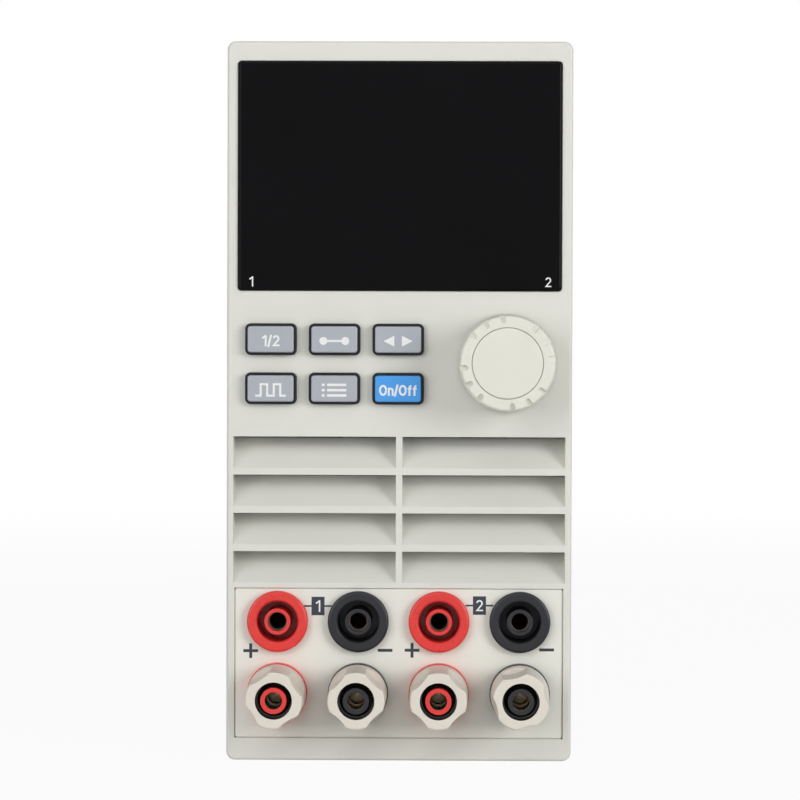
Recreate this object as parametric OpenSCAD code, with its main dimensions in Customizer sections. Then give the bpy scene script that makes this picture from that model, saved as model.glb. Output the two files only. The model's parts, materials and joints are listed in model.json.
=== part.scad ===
// Two-channel dc electronic load: a plug-in module with display, keys, knob, louvred inlet and terminals
// The front faces -Y, its right-hand side is +X and its top is +Z. All sizes are in millimetres.
// Depths are counted from the face of the bezel, positive towards the rear.

/* [Front bezel] */
// Width of the bezel
bezel_w = 82; // [80:0.5:88]
// Depth of the bezel from its face to its rear edge
bezel_depth = 24; // [24:0.5:30]
// Thickness of the bezel's side walls
bezel_wall = 1.55; // [1.3:0.05:1.8]
// Thickness of the bezel's front wall
front_wall = 3; // [2.6:0.1:3.4]
// Radius of the bezel's corners, seen from the front
corner_r = 2.1; // [1.9:0.1:4]
// Radius of the bezel's front edges
edge_r = 0.75; // [0.4:0.05:1.2]
// Height of the lip below the terminal plate
lip_h = 5.3; // [4.6:0.1:8]
// Height of the frame above the display window
top_margin = 4.65; // [4.5:0.05:8]
// Height of the panel with the keys and the knob
key_zone_h = 34.55; // [34:0.05:42]

/* [Louvres] */
// Number of louvre rows
louvre_rows = 4; // [4:1:5]
// Clear height of one louvre pocket
louvre_open = 7.5; // [7.2:0.1:9]
// Height of the ribs between the pockets
louvre_rib = 1.6; // [1.3:0.1:2]
// Height of the rib between the terminal plate and the lowest pocket
plate_rib = 1.2; // [0.9:0.05:2]
// Width of the divider between the two columns
divider_w = 1.5; // [1:0.1:3]
// Angle of the slats above the horizontal, in degrees
slat_angle = 45; // [40:1:55]
// Thickness of the slats
slat_t = 1.4; // [1:0.1:1.8]
// Depth of the slats behind the face
slat_depth = 7.1; // [6.5:0.1:9]

/* [Display window] */
// Width of the frame at each side of the window
window_margin = 2.5; // [2.2:0.1:5]
// Height of the window opening
window_h = 54.6; // [50:0.2:60]
// Thickness of the window
lens_t = 2.5; // [2:0.1:2.6]
// How far the window stands proud of the bezel
lens_proud = 0.8; // [0.5:0.1:1]
// Radius of the window's corners
lens_r = 0.9; // [0.8:0.1:2]
// Radius of the window's front edges
lens_edge = 0.7; // [0.3:0.1:0.7]
// Width of the ledge that the window rests on
ledge_w = 2; // [1.5:0.1:3]

/* [Keys] */
// Width of a key cap
key_w = 10.95; // [9:0.05:11.5]
// Height of a key cap
key_h = 6.25; // [5:0.05:6.6]
// Sideways pitch of the keys
key_pitch_x = 15.1; // [14.4:0.1:15.6]
// Vertical pitch of the keys
key_pitch_z = 11.65; // [10.6:0.05:12]
// Distance of the first key column from the bezel's left side
key_inset = 10.5; // [10:0.1:11]
// How far a key stands proud of the bezel
key_proud = 2.4; // [2:0.1:3.5]
// How far the key collars stand proud of the bezel
collar_proud = 1.5; // [1:0.1:1.8]
// Thickness of the key collars
collar_t = 0.42; // [0.3:0.02:0.6]
// Gap between a key and its collar
key_gap = 0.18; // [0.12:0.02:0.3]

/* [Knob] */
// Diameter of the knob at its base
knob_d = 23.3; // [22:0.1:24]
// Diameter of the knob at its front edge
knob_front_d = 22.4; // [21:0.1:23]
// Height of the knob
knob_h = 13.5; // [12:0.5:18]
// Distance of the knob's axis from the bezel's right side
knob_inset = 15.5; // [14.5:0.1:16]
// Height of the knob's axis above the middle of the keys
knob_rise = 0.4; // [0:0.1:1]
// Diameter of the disc in the knob's front
knob_cap_d = 16.6; // [14:0.1:17.5]
// Width of the notches in the knob's rim
notch_w = 1.25; // [0.8:0.05:1.6]

/* [Terminals] */
// Height of the terminal plate
plate_h = 35.6; // [34.5:0.1:40]
// Thickness of the terminal plate
plate_t = 3.2; // [2:0.1:4]
// How far the terminal plate lies behind the bezel's face
plate_set = 0.4; // [0.3:0.1:1]
// Pitch of the terminals in a row
terminal_pitch = 19.2; // [18.6:0.05:19.3]
// Distance between the row of sense sockets and the row of posts
row_gap = 17; // [16.5:0.1:18]
// Distance of the sense sockets below the plate's upper edge
sense_drop = 7.85; // [7.6:0.05:8]
// Diameter of a sense socket's flange
sense_d = 14.5; // [13:0.1:14.8]
// Bore of the plug contacts
plug_d = 4; // [4:0.05:4.1]
// Diameter of a post's coloured base
base_d = 14.3; // [13.8:0.1:15]
// Thickness of a post's coloured base
base_t = 2.8; // [2:0.1:5]
// Diameter of a fluted nut at its collar
nut_d = 13.9; // [13.6:0.1:14.2]
// Diameter of a fluted nut at its front
nut_front_d = 13.35; // [13:0.05:13.6]
// Length of a fluted nut
nut_len = 16.5; // [15:0.5:20]
// Depth of the four flutes of a nut
flute_deep = 1; // [0.5:0.1:1.1]
// Diameter of the thread on the post studs
stud_d = 7.8; // [7.4:0.1:7.9]

/* [Chassis] */
// Length of the sheet-metal body behind the bezel
chassis_len = 515; // [420:5:620]
// Thickness of the sheet metal
sheet = 1.2; // [1:0.1:1.3]
// How far the body's sides lie inside the bezel's sides
chassis_inset = 0.5; // [0.4:0.1:0.8]
// Thickness of the glide runners below the body
runner_t = 1.5; // [1.2:0.1:2]
// Width of the glide runners
runner_w = 8; // [5:0.5:12]
// Thickness of the rear panel
rear_t = 1.5; // [1.2:0.1:2]
// Length of the guide pins behind the rear panel
pin_len = 14; // [10:0.5:20]
// Diameter of the guide pins
pin_d = 6; // [4:0.5:7]
// Diameter of the exhaust holes
vent_d = 3.4; // [2.4:0.1:3.8]

/* [Hidden] */
$fn = 96;
// Overshoot of every cutting shape
cut = 1;
// Play of a part that is slid or pressed into another
fit = 0.05;
// Play of the terminal plate in its frame
seam = 0.1;
// Play of a part that is dropped into its place
loose_fit = 0.35;
// Half the point angle of a drilled bore, as its slope
drill_slope = tan(31);

// Heights of the zones of the front, from the bottom to the top
plate_z0 = lip_h + seam;
plate_z1 = plate_z0 + plate_h;
louvre_z0 = plate_z1 + seam + plate_rib;
louvre_pitch = louvre_open + louvre_rib;
louvre_z1 = louvre_z0 + louvre_rows * louvre_pitch - louvre_rib;
louvre_mid_z = (louvre_z0 + louvre_z1) / 2;
window_z0 = louvre_z1 + key_zone_h;
window_mid_z = window_z0 + window_h / 2;
bezel_h = window_z0 + window_h + top_margin;
key_mid_z = louvre_z1 + key_zone_h / 2;
inner_w = bezel_w - 2 * bezel_wall;
window_w = bezel_w - 2 * window_margin;

// Stations behind the front: window, keys and front board
lens_gap = 0.1;
lens_back = lens_t - lens_proud;
board_gap = 6.5;
board_t = 1.6;
board_near = front_wall + board_gap;
board_far = board_near + board_t;
display_gap = 0.5;
display_wall = 0.5;

// Key stack: collar web, key flange, stem, rubber dome, dome sheet, board
key_cols = 3;
key_rows = 2;
key_r = 0.7;
key_edge = 0.38;
key_travel = 1;
dome_floor = 1;
key_overhang = 0.5;
web_t = 1;
web_margin = 0.4;
flange_t = 1;
dome_h = key_travel + dome_floor;
dome_sheet_t = 1;
dome_r = 3.6;
dome_top_r = 2.2;
dome_skin = 0.6;
collar_in_w = key_w + 2 * key_gap;
collar_in_h = key_h + 2 * key_gap;
collar_w = collar_in_w + 2 * collar_t;
collar_h = collar_in_h + 2 * collar_t;
web_far = front_wall + web_t;
sheet_near = board_near - dome_sheet_t;
dome_top = sheet_near - dome_h;
key_x0 = key_inset - bezel_w / 2;
key_field_x = key_x0 + (key_cols - 1) * key_pitch_x / 2;
key_field_w = (key_cols - 1) * key_pitch_x + collar_w + 2 * web_margin;
key_field_h = (key_rows - 1) * key_pitch_z + collar_h + 2 * web_margin;

// Knob and encoder
knob_x = bezel_w / 2 - knob_inset;
knob_z = key_mid_z + knob_rise;
knob_gap = 0.8;
knob_back = -knob_gap;
knob_front = knob_back - knob_h;
knob_edge = 0.7;
knob_cap_t = 1.6;
knob_cap_gap = 0.1;
knob_cap_edge = 0.3;
knob_skin = 1.8;
hub_wall = 2;
shaft_r = 3;
bushing_r = 3.5;
bushing_front = -5;
bushing_gap = 0.6;
bushing_hole_r = bushing_r + bushing_gap;
encoder_w = 12.4;
encoder_gap = 0.2;
encoder_floor = 1.5;
shaft_roof = 1;
shaft_front = knob_front + knob_cap_t + shaft_roof;
shaft_far = board_near - encoder_floor;
notch_r = 10.05;
notch_deep = 0.6;
notch_tilt = 20;
notch_step = 22.5;
notch_first = 6.3;

// Terminal stations
plate_side = 0.35;
plate_open_w = inner_w - 2 * plate_side;
plate_w = plate_open_w - 2 * seam;
plate_r = 0.6;
plate_edge = 0.3;
plate_far = plate_set + plate_t;
plate_skirt = 1.2;
plate_mid_z = (plate_z0 + plate_z1) / 2;
sense_z = plate_z1 - sense_drop;
post_z = sense_z - row_gap;
terminal_x = [for (i = [0:3]) (i - 1.5) * terminal_pitch];
positive_x = [terminal_x[0], terminal_x[2]];
negative_x = [terminal_x[1], terminal_x[3]];
channel_x = [terminal_x[0] + terminal_pitch / 2, terminal_x[2] + terminal_pitch / 2];
plug_r = plug_d / 2;
drill_point = plug_r * drill_slope;

// Sense sockets
sense_flange_t = 2;
sense_front = plate_set - sense_flange_t;
sense_edge = 0.6;
sense_barrel_r = 5.5;
sense_tail = 16;
sense_far = plate_far + sense_tail;
recess_r = 4.83;
recess_depth = 11;
recess_bevel = 0.4;
tube_r = 3.1;
tube_mouth_gap = 0.3;
tube_mouth_r = plug_r + tube_mouth_gap;
contact_r = 2.7;
contact_near = 1;
contact_end_t = 2.5;
contact_far = sense_far - contact_end_t;
contact_pin_r = 1.2;
contact_pin_len = 3;
contact_pin_far = sense_far + contact_pin_len;
hex_t = 3;
sense_hex_flats = 12.6;

// Binding posts
base_front = plate_set - base_t;
base_edge = 0.5;
spigot_r = 5.4;
nut_gap = 0.2;
nut_back = base_front - nut_gap;
nut_front = nut_back - nut_len;
nut_edge = 0.45;
nut_r = nut_d / 2;
nut_front_r = nut_front_d / 2;
nut_lip = 0.4;
nut_mouth_r = 4.33;
nut_mouth_deep = 4.5;
insert_r = 5.2;
washer_pocket = 1;
washer_pocket_r = 5.9;
washer_r = 5.6;
washer_t = 0.8;
insert_front = nut_front + nut_mouth_deep;
insert_back = nut_back - washer_pocket;
stud_r = stud_d / 2;
running_fit = 0.05;
tip_set = 0.1;
tip_front = nut_front + tip_set;
tip_len = 3.6;
tip_r = 3.05;
tip_bore_r = plug_r + fit;
tip_rim = 0.6;
nose_r = 2.6;
nose_front = tip_front + tip_rim;
thread_front = tip_front + tip_len;
stud_rear_len = 6.5;
stud_shoulder = plate_far + stud_rear_len;
tail_r = 2.9;
tail_len = 10;
tail_far = stud_shoulder + tail_len;
plug_depth = 15.8;
post_hex_flats = 13;
post_hex_t = 4;
tail_hex_flats = 10;
flute_r = 9.5;
flute_collar = 3.2;
flute_runout = 1.6;
// Rise of a flute's run-out, as a multiple of the flute's depth
flute_rise = 1.25;
// Rest angles of the four nuts, anticlockwise as seen from the front
nut_rest = [-12, 1, 0, -31];

// Chassis frame
chassis_w = bezel_w - 2 * chassis_inset;
chassis_in_w = chassis_w - 2 * sheet;
body_near = bezel_depth;
body_far = body_near + chassis_len;
rear_far = body_far + rear_t;
tray_z0 = runner_t;
floor_z = tray_z0 + sheet;
cover_z1 = bezel_h - 2 * chassis_inset;
cover_z0 = cover_z1 - sheet;
ceiling_z = cover_z0 - sheet;
slip = 0.1;
bend_r = 1.8;
fold_w = 9;
fold_root = 2;
fold_relief = 2;
fold_hole_gap = 0.8;
panel_far = body_near + sheet;

// Bezel bosses and their screws
boss_seat_r = 2.6;
boss_r = 1.9;
boss_pilot_r = 1.05;
boss_pilot_deep = 9;
boss_hole_gap = 0.2;
small_screw_r = 1;
small_head_r = 2.2;
small_head_t = 1.6;
small_screw_len = 8;
plate_boss_r = 3;
boss_side_gap = 0.8;
boss_x = inner_w / 2 - boss_seat_r - boss_side_gap;
plate_boss_z = (sense_z + post_z) / 2;

// Fans fill the width of the body and match the height of the louvre bank
fan_split = 2.2;
fan_side_gap = 0.2;
fan_over = 3.2;
fan_size = min(chassis_in_w / 2 - fan_split / 2 - fan_side_gap, louvre_z1 - louvre_z0 + fan_over);
fan_x = (fan_size + fan_split) / 2;
fan_deep = 28;
fan_r = 2.5;
fan_rim = 1.4;
fan_bore_r = fan_size / 2 - fan_rim;
fan_hub_r = 8.5;
fan_bolt_inset = 3;
fan_bolt = fan_size / 2 - fan_bolt_inset;
fan_bolt_r = 1.5;
fan_head_r = 2.5;
fan_strut_w = 2.4;
fan_strut_t = 2.5;
fan_strut_root = 0.5;
fan_near = panel_far;
fan_far = fan_near + fan_deep;
fan_shaft_r = 1.5;
blades = 7;
blade_t = 1.2;
blade_pitch = 42;
blade_chord = 22;
blade_gap = 0.6;
blade_root = 1;
rotor_front_gap = 2;
rotor_rear_gap = 1;
boss_fan_gap = 0.35;
boss_window_gap = 0.7;
lower_boss_z = louvre_mid_z + fan_size / 2 + small_head_r + boss_fan_gap;
upper_boss_z = window_z0 - boss_seat_r - boss_window_gap;

// Heat sinks stand behind the fans, screwed to the sides of the tray
sink_front_gap = 2;
sink_rear_gap = 90;
sink_near = fan_far + sink_front_gap;
sink_far = body_far - sink_rear_gap;
sink_base_t = 6;
sink_fin_t = 1.4;
sink_fins = 9;
sink_w = chassis_in_w / 2 - fan_split / 2;
sink_z0 = louvre_mid_z - fan_size / 2;
sink_h = fan_size;

// Power stage below the heat sinks
transistor_w = 16;
transistor_len = 21;
transistor_t = 5;
transistors_per_sink = 6;
transistor_pitch = (sink_far - sink_near) / transistors_per_sink;
lead_w = 1.2;
lead_pitch = 5.4;
lead_out = 2.4;
bar_w = 10;
bar_t = 2;
bar_over_board = 40;
power_board_rise = 10;
power_board_gap = 1.6;
power_board_front_gap = 16;
power_board_rear_gap = 10;
power_board_z0 = post_z + power_board_rise;
bar_z1 = power_board_z0;
power_board_w = chassis_in_w / 2 - 2 * power_board_gap;
power_board_near = panel_far + power_board_front_gap;
power_board_far = sink_far - power_board_rear_gap;
bar_far = power_board_near + bar_over_board;

// Control board on two ledges of the tray
shelf_drop = 5;
shelf_z = (louvre_mid_z + fan_size / 2 + ceiling_z) / 2 - shelf_drop;
shelf_w = 6;
control_front_gap = 36;
control_rear_gap = 3;
control_near = panel_far + control_front_gap;
control_far = body_far - control_rear_gap;
control_z1 = shelf_z + board_t;
ribbon_w = 30;
ribbon_t = 1;
ribbon_rise = 4;
ribbon_z = control_z1 + ribbon_rise;
plug_block = 6;
capacitors = 4;
capacitor_r = 8;
capacitor_h = 22;
capacitor_x = 22;
capacitor_first = 60;
capacitor_pitch = 45;
part_x = -14;
part_pitch = 75;
transformer_size = [34, 40, 26];
processor_size = [28, 28, 3];
relay_size = [20, 40, 12];

// Rear connector, guide pins and fixing holes
connector_w = 52;
connector_h = 11;
connector_out = 8;
connector_lip = 2.5;
connector_bevel = 2.5;
connector_in = 18;
connector_z = control_z1 + connector_h / 2;
connector_near = body_far - connector_in;
tongue_w = 46;
tongue_t = 5;
tongue_lead = 1;
tongue_key_x = 8;
tongue_key_w = 1.6;
pin_inset = 7;
pin_x = chassis_in_w / 2 - pin_inset;
pin_step = 0.5;
pin_shank_r = pin_d / 2 - pin_step;
pin_collar_w = 1;
pin_collar_r = pin_d / 2 + pin_collar_w;
pin_collar_t = 2;
panel_r = 1.5;
fix_inset_x = 12;
fix_inset_z = 13;
fix_x = chassis_w / 2 - fix_inset_x;
fix_z = [tray_z0 + fix_inset_z, cover_z1 - fix_inset_z];
fix_core_r = 1.65;
fix_collar_r = 3.2;
fix_collar_t = 3;
vent_step = 4.7;
vent_cols = 7;
vent_rows = 8;

// Countersunk chassis screws
screw_r = 1.5;
screw_land = 0.1;
screw_head_t = sheet - screw_land;
screw_head_r = screw_r + screw_head_t;
screw_len = 6;
side_screw_share = [0.11, 0.45, 0.79];
cover_screws = 4;
rear_screw_inset = 30;
rear_screw_z = [tray_z0 + rear_screw_inset, cover_z1 - rear_screw_inset];

// Ears of the front sub-panel, screwed to the sides of the tray between the bosses
ear_deep = 12;
ear_h = 16;
ear_screw_d = panel_far + ear_deep / 2 + 1;
lower_ear_rise = 4;
upper_ear_drop = 16;
ear_z = [post_z + lower_ear_rise, (lower_boss_z + upper_boss_z) / 2, ceiling_z - upper_ear_drop];
bar_slot_gap = 1;
bar_slot_over = 4;
sense_hole_gap = 2;
ribbon_slot_gap = 1.5;

// Side vents near the rear, above the control board
slot_w = 3;
slot_h = 26;
slot_step = 8;
slots = 9;
slot_inset = 45;
slot_rise = 26;

// The front reaches the fluted nuts and the rear the guide pins; the row's origin is midway
front_reach = -nut_front;
rear_reach = rear_far + pin_len;
face_y = (front_reach - rear_reach) / 2;

// Colours
ivory = [0.86, 0.86, 0.83];
grey_key = [0.67, 0.69, 0.72];
blue_key = [0.27, 0.53, 0.83];
black_plastic = [0.1, 0.1, 0.11];
red_plastic = [0.85, 0.2, 0.18];
glass_black = [0.03, 0.03, 0.035];
nut_ivory = [0.87, 0.85, 0.8];
nickel = [0.75, 0.75, 0.72];
dark_metal = [0.22, 0.22, 0.22];
zinc = [0.72, 0.74, 0.76];
copper = [0.78, 0.48, 0.3];
aluminium = [0.8, 0.8, 0.82];
board_green = [0.1, 0.35, 0.2];
nylon = [0.92, 0.92, 0.9];

// Rectangle with round corners, centred
module round_rect(w, h, r) {
    square([w - 2 * r, h], center = true);
    square([w, h - 2 * r], center = true);
    for (x = [-1, 1], y = [-1, 1])
        translate([x * (w / 2 - r), y * (h / 2 - r)]) circle(r);
}

// Front-view outline as a slab between two depths
module slab(near, far) {
    translate([0, face_y + far, 0]) rotate([90, 0, 0]) linear_extrude(far - near) children();
}

// Round bar from front to rear
module rod(x, z, r, near, far) {
    translate([x, face_y + far, z]) rotate([90, 0, 0]) cylinder(r = r, h = far - near);
}

// Hexagonal bar from front to rear, with a flat at the top
module hex_bar(x, z, flats, near, far) {
    translate([x, face_y + far, z]) rotate([90, 0, 0])
        cylinder(r = flats / sqrt(3), h = far - near, $fn = 6);
}

// Turned shape about a front-to-rear axis; its outline is given as [radius, depth]
module turned(x, z) {
    translate([x, face_y, z]) rotate([-90, 0, 0]) rotate_extrude() children();
}

// Outline of a turned step
module step(r0, r1, near, far) {
    translate([r0, near]) square([r1 - r0, far - near]);
}

// Outline of a turned disc with a round front edge
module soft_disc(r, near, far, e) {
    step(0, r, near + e, far);
    step(0, r - e, near, near + e);
    translate([r - e, near + e]) circle(e);
}

// Quarter of a disc that rounds a front edge
module edge_quarter(e) {
    intersection() {
        translate([0, e]) circle(e);
        square(e);
    }
}

// Rounded slab with round front edges, centred at the height z
module pillow(x, z, w, h, r, e, near, far) {
    translate([x, 0, z]) {
        slab(near + e, far) round_rect(w, h, r);
        slab(near, near + e) square([w - 2 * r, h - 2 * e], center = true);
        for (side = [-1, 1])
            slab(near, near + e) translate([side * (w / 2 - r / 2 - e / 2), 0])
                square([r - e, h - 2 * r], center = true);
        translate([0, face_y + near, 0]) {
            for (turn = [0, 180]) rotate([0, turn, 0]) {
                translate([w / 2 - e, 0, 0]) linear_extrude(h - 2 * r, center = true) edge_quarter(e);
                rotate([0, -90, 0]) translate([h / 2 - e, 0, 0])
                    linear_extrude(w - 2 * r, center = true) edge_quarter(e);
            }
            for (mx = [0, 1], mz = [0, 1]) mirror([mx, 0, 0]) mirror([0, 0, mz])
                translate([w / 2 - r, 0, r - h / 2]) rotate([-90, 0, 0]) rotate_extrude(angle = 90) {
                    square([r - e, e]);
                    translate([r - e, 0]) edge_quarter(e);
                }
        }
    }
}

// Countersunk screw pointing down, with its head's top at the origin; its hole has play and an open top
module flat_screw(play) {
    translate([0, 0, -screw_head_t])
        cylinder(r1 = screw_r + play, r2 = screw_head_r + play, h = screw_head_t);
    translate([0, 0, -screw_len]) cylinder(r = screw_r + play, h = screw_len - screw_head_t / 2);
    if (play > 0) cylinder(r = screw_head_r + play, h = cut);
}

// Every countersunk screw of the chassis, or its hole if there is play
module all_flat_screws(play) {
    for (side = [-1, 1]) {
        for (share = side_screw_share)
            translate([side * chassis_w / 2, face_y + sink_near + share * (sink_far - sink_near),
                       sink_z0 + sink_base_t / 2])
                rotate([0, side * 90, 0]) flat_screw(play);
        for (z = ear_z)
            translate([side * chassis_w / 2, face_y + ear_screw_d, z])
                rotate([0, side * 90, 0]) flat_screw(play);
        for (i = [0 : cover_screws - 1])
            translate([side * (chassis_in_w - fold_w) / 2,
                       face_y + body_near + (i + 0.5) * chassis_len / cover_screws, cover_z1])
                flat_screw(play);
        for (z = rear_screw_z)
            translate([side * (chassis_in_w - fold_w) / 2, face_y + rear_far, z])
                rotate([-90, 0, 0]) flat_screw(play);
    }
}

// Runs its child once at every key
module at_keys() {
    for (i = [0 : key_cols - 1], j = [0 : key_rows - 1])
        translate([key_x0 + i * key_pitch_x, 0, key_z(j)]) children();
}

// Height of a key row, counted from the top
function key_z(row) = key_mid_z + ((key_rows - 1) / 2 - row) * key_pitch_z;

// Positions of the four bezel bosses
boss_at = [for (x = [-1, 1], z = [lower_boss_z, upper_boss_z]) [x * boss_x, z]];
// Positions of the two terminal plate bosses
plate_boss_at = [for (x = channel_x) [x, plate_boss_z]];

// One louvre slat: rib in front, plate sloping up to the rear
module slat(z, rib) {
    drop = slat_t / cos(slat_angle);
    rise = slat_depth * tan(slat_angle);
    heel = (drop - rib) / tan(slat_angle);
    translate([-inner_w / 2, face_y, z]) rotate([90, 0, 90]) linear_extrude(inner_w)
        polygon([[0, -rib], [0, 0], [slat_depth, rise], [slat_depth, rise - drop], [heel, -rib]]);
}

module front_bezel() color(ivory) difference() {
    union() {
        difference() {
            pillow(0, bezel_h / 2, bezel_w, bezel_h, corner_r, edge_r, 0, bezel_depth);
            translate([0, 0, bezel_h / 2]) slab(front_wall, bezel_depth + cut)
                round_rect(inner_w, bezel_h - 2 * bezel_wall, corner_r - bezel_wall);
            translate([0, 0, window_mid_z]) {
                slab(-cut, lens_back) round_rect(window_w, window_h, lens_r);
                slab(-cut, front_wall + cut)
                    square([window_w - 2 * ledge_w, window_h - 2 * ledge_w], center = true);
            }
            at_keys() slab(-cut, front_wall + cut)
                round_rect(collar_w + 2 * fit, collar_h + 2 * fit, key_r + key_gap + collar_t + fit);
            rod(knob_x, knob_z, bushing_hole_r, -cut, front_wall + cut);
            slab(-cut, front_wall + cut) translate([0, louvre_mid_z])
                square([inner_w, louvre_z1 - louvre_z0], center = true);
            slab(-cut, front_wall + cut) translate([0, plate_mid_z])
                square([plate_open_w, plate_h + 2 * seam], center = true);
        }
        slat(louvre_z0, plate_rib);
        for (i = [1 : louvre_rows - 1]) slat(louvre_z0 + i * louvre_pitch, louvre_rib);
        slab(0, slat_depth) translate([0, louvre_mid_z])
            square([divider_w, louvre_z1 - louvre_z0], center = true);
        for (p = boss_at) {
            rod(p[0], p[1], boss_seat_r, front_wall, board_near);
            rod(p[0], p[1], boss_r, board_near, bezel_depth);
        }
    }
    for (p = boss_at) rod(p[0], p[1], boss_pilot_r, bezel_depth - boss_pilot_deep, bezel_depth + cut);
}

module display_window() color(glass_black)
    pillow(0, window_mid_z, window_w - 2 * lens_gap, window_h - 2 * lens_gap, lens_r, lens_edge,
           -lens_proud, lens_back);

module display_panel() color([0.12, 0.14, 0.15])
    translate([0, 0, window_mid_z]) slab(lens_back + display_gap, board_near)
        square([window_w - 2 * ledge_w - 2 * display_wall, window_h - 2 * ledge_w - 2 * display_wall],
               center = true);

module key_surround() color(black_plastic) difference() {
    union() {
        slab(front_wall, web_far) translate([key_field_x, key_mid_z])
            square([key_field_w, key_field_h], center = true);
        at_keys() slab(-collar_proud, web_far) round_rect(collar_w, collar_h, key_r + key_gap + collar_t);
    }
    at_keys() slab(-collar_proud - cut, web_far + cut) round_rect(collar_in_w, collar_in_h, key_r + key_gap);
}

module key_dome_sheet() color([0.8, 0.8, 0.78]) difference() {
    union() {
        slab(sheet_near, board_near) translate([key_field_x, key_mid_z])
            square([key_field_w, key_field_h], center = true);
        at_keys() turned(0, 0)
            polygon([[0, dome_top], [dome_top_r, dome_top], [dome_r, sheet_near], [0, sheet_near]]);
    }
    at_keys() turned(0, 0)
        polygon([[0, dome_top + dome_skin], [dome_top_r - dome_skin, dome_top + dome_skin],
                 [dome_r - dome_skin, sheet_near], [dome_r - dome_skin, board_near + cut],
                 [0, board_near + cut]]);
}

// A key cap with its retaining flange and the stem that stands on the rubber dome
module key_cap(col, row) {
    x = key_x0 + col * key_pitch_x;
    z = key_z(row);
    pillow(x, z, key_w, key_h, key_r, key_edge, -key_proud, web_far);
    translate([x, 0, z]) {
        slab(web_far, web_far + flange_t)
            square([collar_in_w + 2 * key_overhang, collar_in_h + 2 * key_overhang], center = true);
        rod(0, 0, dome_top_r, web_far + flange_t, dome_top);
    }
}

module key_channel_select() color(grey_key) key_cap(0, 0);
module key_short() color(grey_key) key_cap(1, 0);
module key_cursor() color(grey_key) key_cap(2, 0);
module key_transient() color(grey_key) key_cap(0, 1);
module key_mode() color(grey_key) key_cap(1, 1);
module key_on_off() color(blue_key) key_cap(2, 1);

module knob_body() color(ivory) translate([knob_x, face_y, knob_z]) rotate([-90, 0, 0]) difference() {
    rotate_extrude() difference() {
        union() {
            polygon([[0, knob_front], [knob_front_d / 2 - knob_edge, knob_front],
                     [knob_front_d / 2, knob_front + knob_edge], [knob_d / 2, knob_back], [0, knob_back]]);
            translate([knob_front_d / 2 - knob_edge, knob_front + knob_edge]) circle(knob_edge);
        }
        step(0, knob_cap_d / 2 + knob_cap_gap, knob_front - cut, knob_front + knob_cap_t);
        step(shaft_r + hub_wall, knob_front_d / 2 - knob_skin,
             knob_front + knob_cap_t + knob_skin, knob_back + cut);
        step(0, shaft_r + fit, shaft_front, knob_back + cut);
        step(0, bushing_r + knob_gap, bushing_front - knob_gap, knob_back + cut);
    }
    for (group = [0:3], k = [0:2])
        rotate([0, 0, -(notch_first + group * 90 + k * notch_step)])
            translate([notch_r, 0, knob_front]) rotate([0, -notch_tilt, 0]) translate([0, 0, -cut]) {
                cylinder(r = notch_w / 2, h = notch_deep + cut);
                translate([0, -notch_w / 2, 0]) cube([knob_d / 2 - notch_r + cut, notch_w, notch_deep + cut]);
            }
}

module knob_cap() color(ivory) turned(knob_x, knob_z)
    soft_disc(knob_cap_d / 2, knob_front, knob_front + knob_cap_t, knob_cap_edge);

module encoder_shaft() color(nickel) turned(knob_x, knob_z) step(0, shaft_r, shaft_front, shaft_far);

module encoder_body() color([0.3, 0.32, 0.3]) difference() {
    union() {
        slab(front_wall + encoder_gap, board_near) translate([knob_x, knob_z])
            square(encoder_w, center = true);
        rod(knob_x, knob_z, bushing_r, bushing_front, front_wall + encoder_gap);
    }
    rod(knob_x, knob_z, shaft_r + running_fit, bushing_front - cut, shaft_far + encoder_gap);
}

module front_board() color(board_green) difference() {
    slab(board_near, board_far) translate([0, (louvre_z1 + bezel_h - bezel_wall) / 2])
        square([inner_w - 2 * loose_fit, bezel_h - bezel_wall - louvre_z1 - 2 * loose_fit], center = true);
    for (p = boss_at) rod(p[0], p[1], boss_r + boss_hole_gap, board_near - cut, board_far + cut);
}

module terminal_plate() color(ivory) difference() {
    union() {
        difference() {
            pillow(0, plate_mid_z, plate_w, plate_h, plate_r, plate_edge, plate_set, bezel_depth);
            slab(plate_far, bezel_depth + cut) translate([0, plate_mid_z])
                square([plate_w - 2 * plate_skirt, plate_h - 2 * plate_skirt], center = true);
        }
        for (p = plate_boss_at) rod(p[0], p[1], plate_boss_r, plate_far, bezel_depth);
    }
    for (x = terminal_x) {
        rod(x, sense_z, sense_barrel_r + fit, plate_set - cut, plate_far + cut);
        rod(x, post_z, spigot_r + fit, plate_set - cut, plate_far + cut);
    }
    for (p = plate_boss_at) rod(p[0], p[1], boss_pilot_r, bezel_depth - boss_pilot_deep, bezel_depth + cut);
}

// Insulated safety socket with a ring recess for the plug's shroud
module sense_socket(x) turned(x, sense_z) difference() {
    union() {
        soft_disc(sense_d / 2, sense_front, plate_set, sense_edge);
        step(0, sense_barrel_r, plate_set, sense_far);
    }
    step(tube_r, recess_r, sense_front - cut, sense_front + recess_depth);
    polygon([[tube_r, sense_front - cut], [recess_r + recess_bevel + cut, sense_front - cut],
             [recess_r, sense_front + recess_bevel], [tube_r, sense_front + recess_bevel]]);
    step(0, tube_mouth_r, sense_front - cut, contact_near);
    step(0, contact_r + fit, contact_near, sense_far + cut);
}

module sense_sockets_positive() color(red_plastic) for (x = positive_x) sense_socket(x);
module sense_sockets_negative() color(black_plastic) for (x = negative_x) sense_socket(x);

module sense_contacts() color(nickel) for (x = terminal_x) turned(x, sense_z) {
    step(plug_r, contact_r, contact_near, contact_far);
    polygon([[0, contact_far + drill_point], [plug_r, contact_far], [contact_r, contact_far],
             [contact_r, sense_far], [0, sense_far]]);
    step(0, contact_pin_r, sense_far, contact_pin_far);
}

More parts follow.
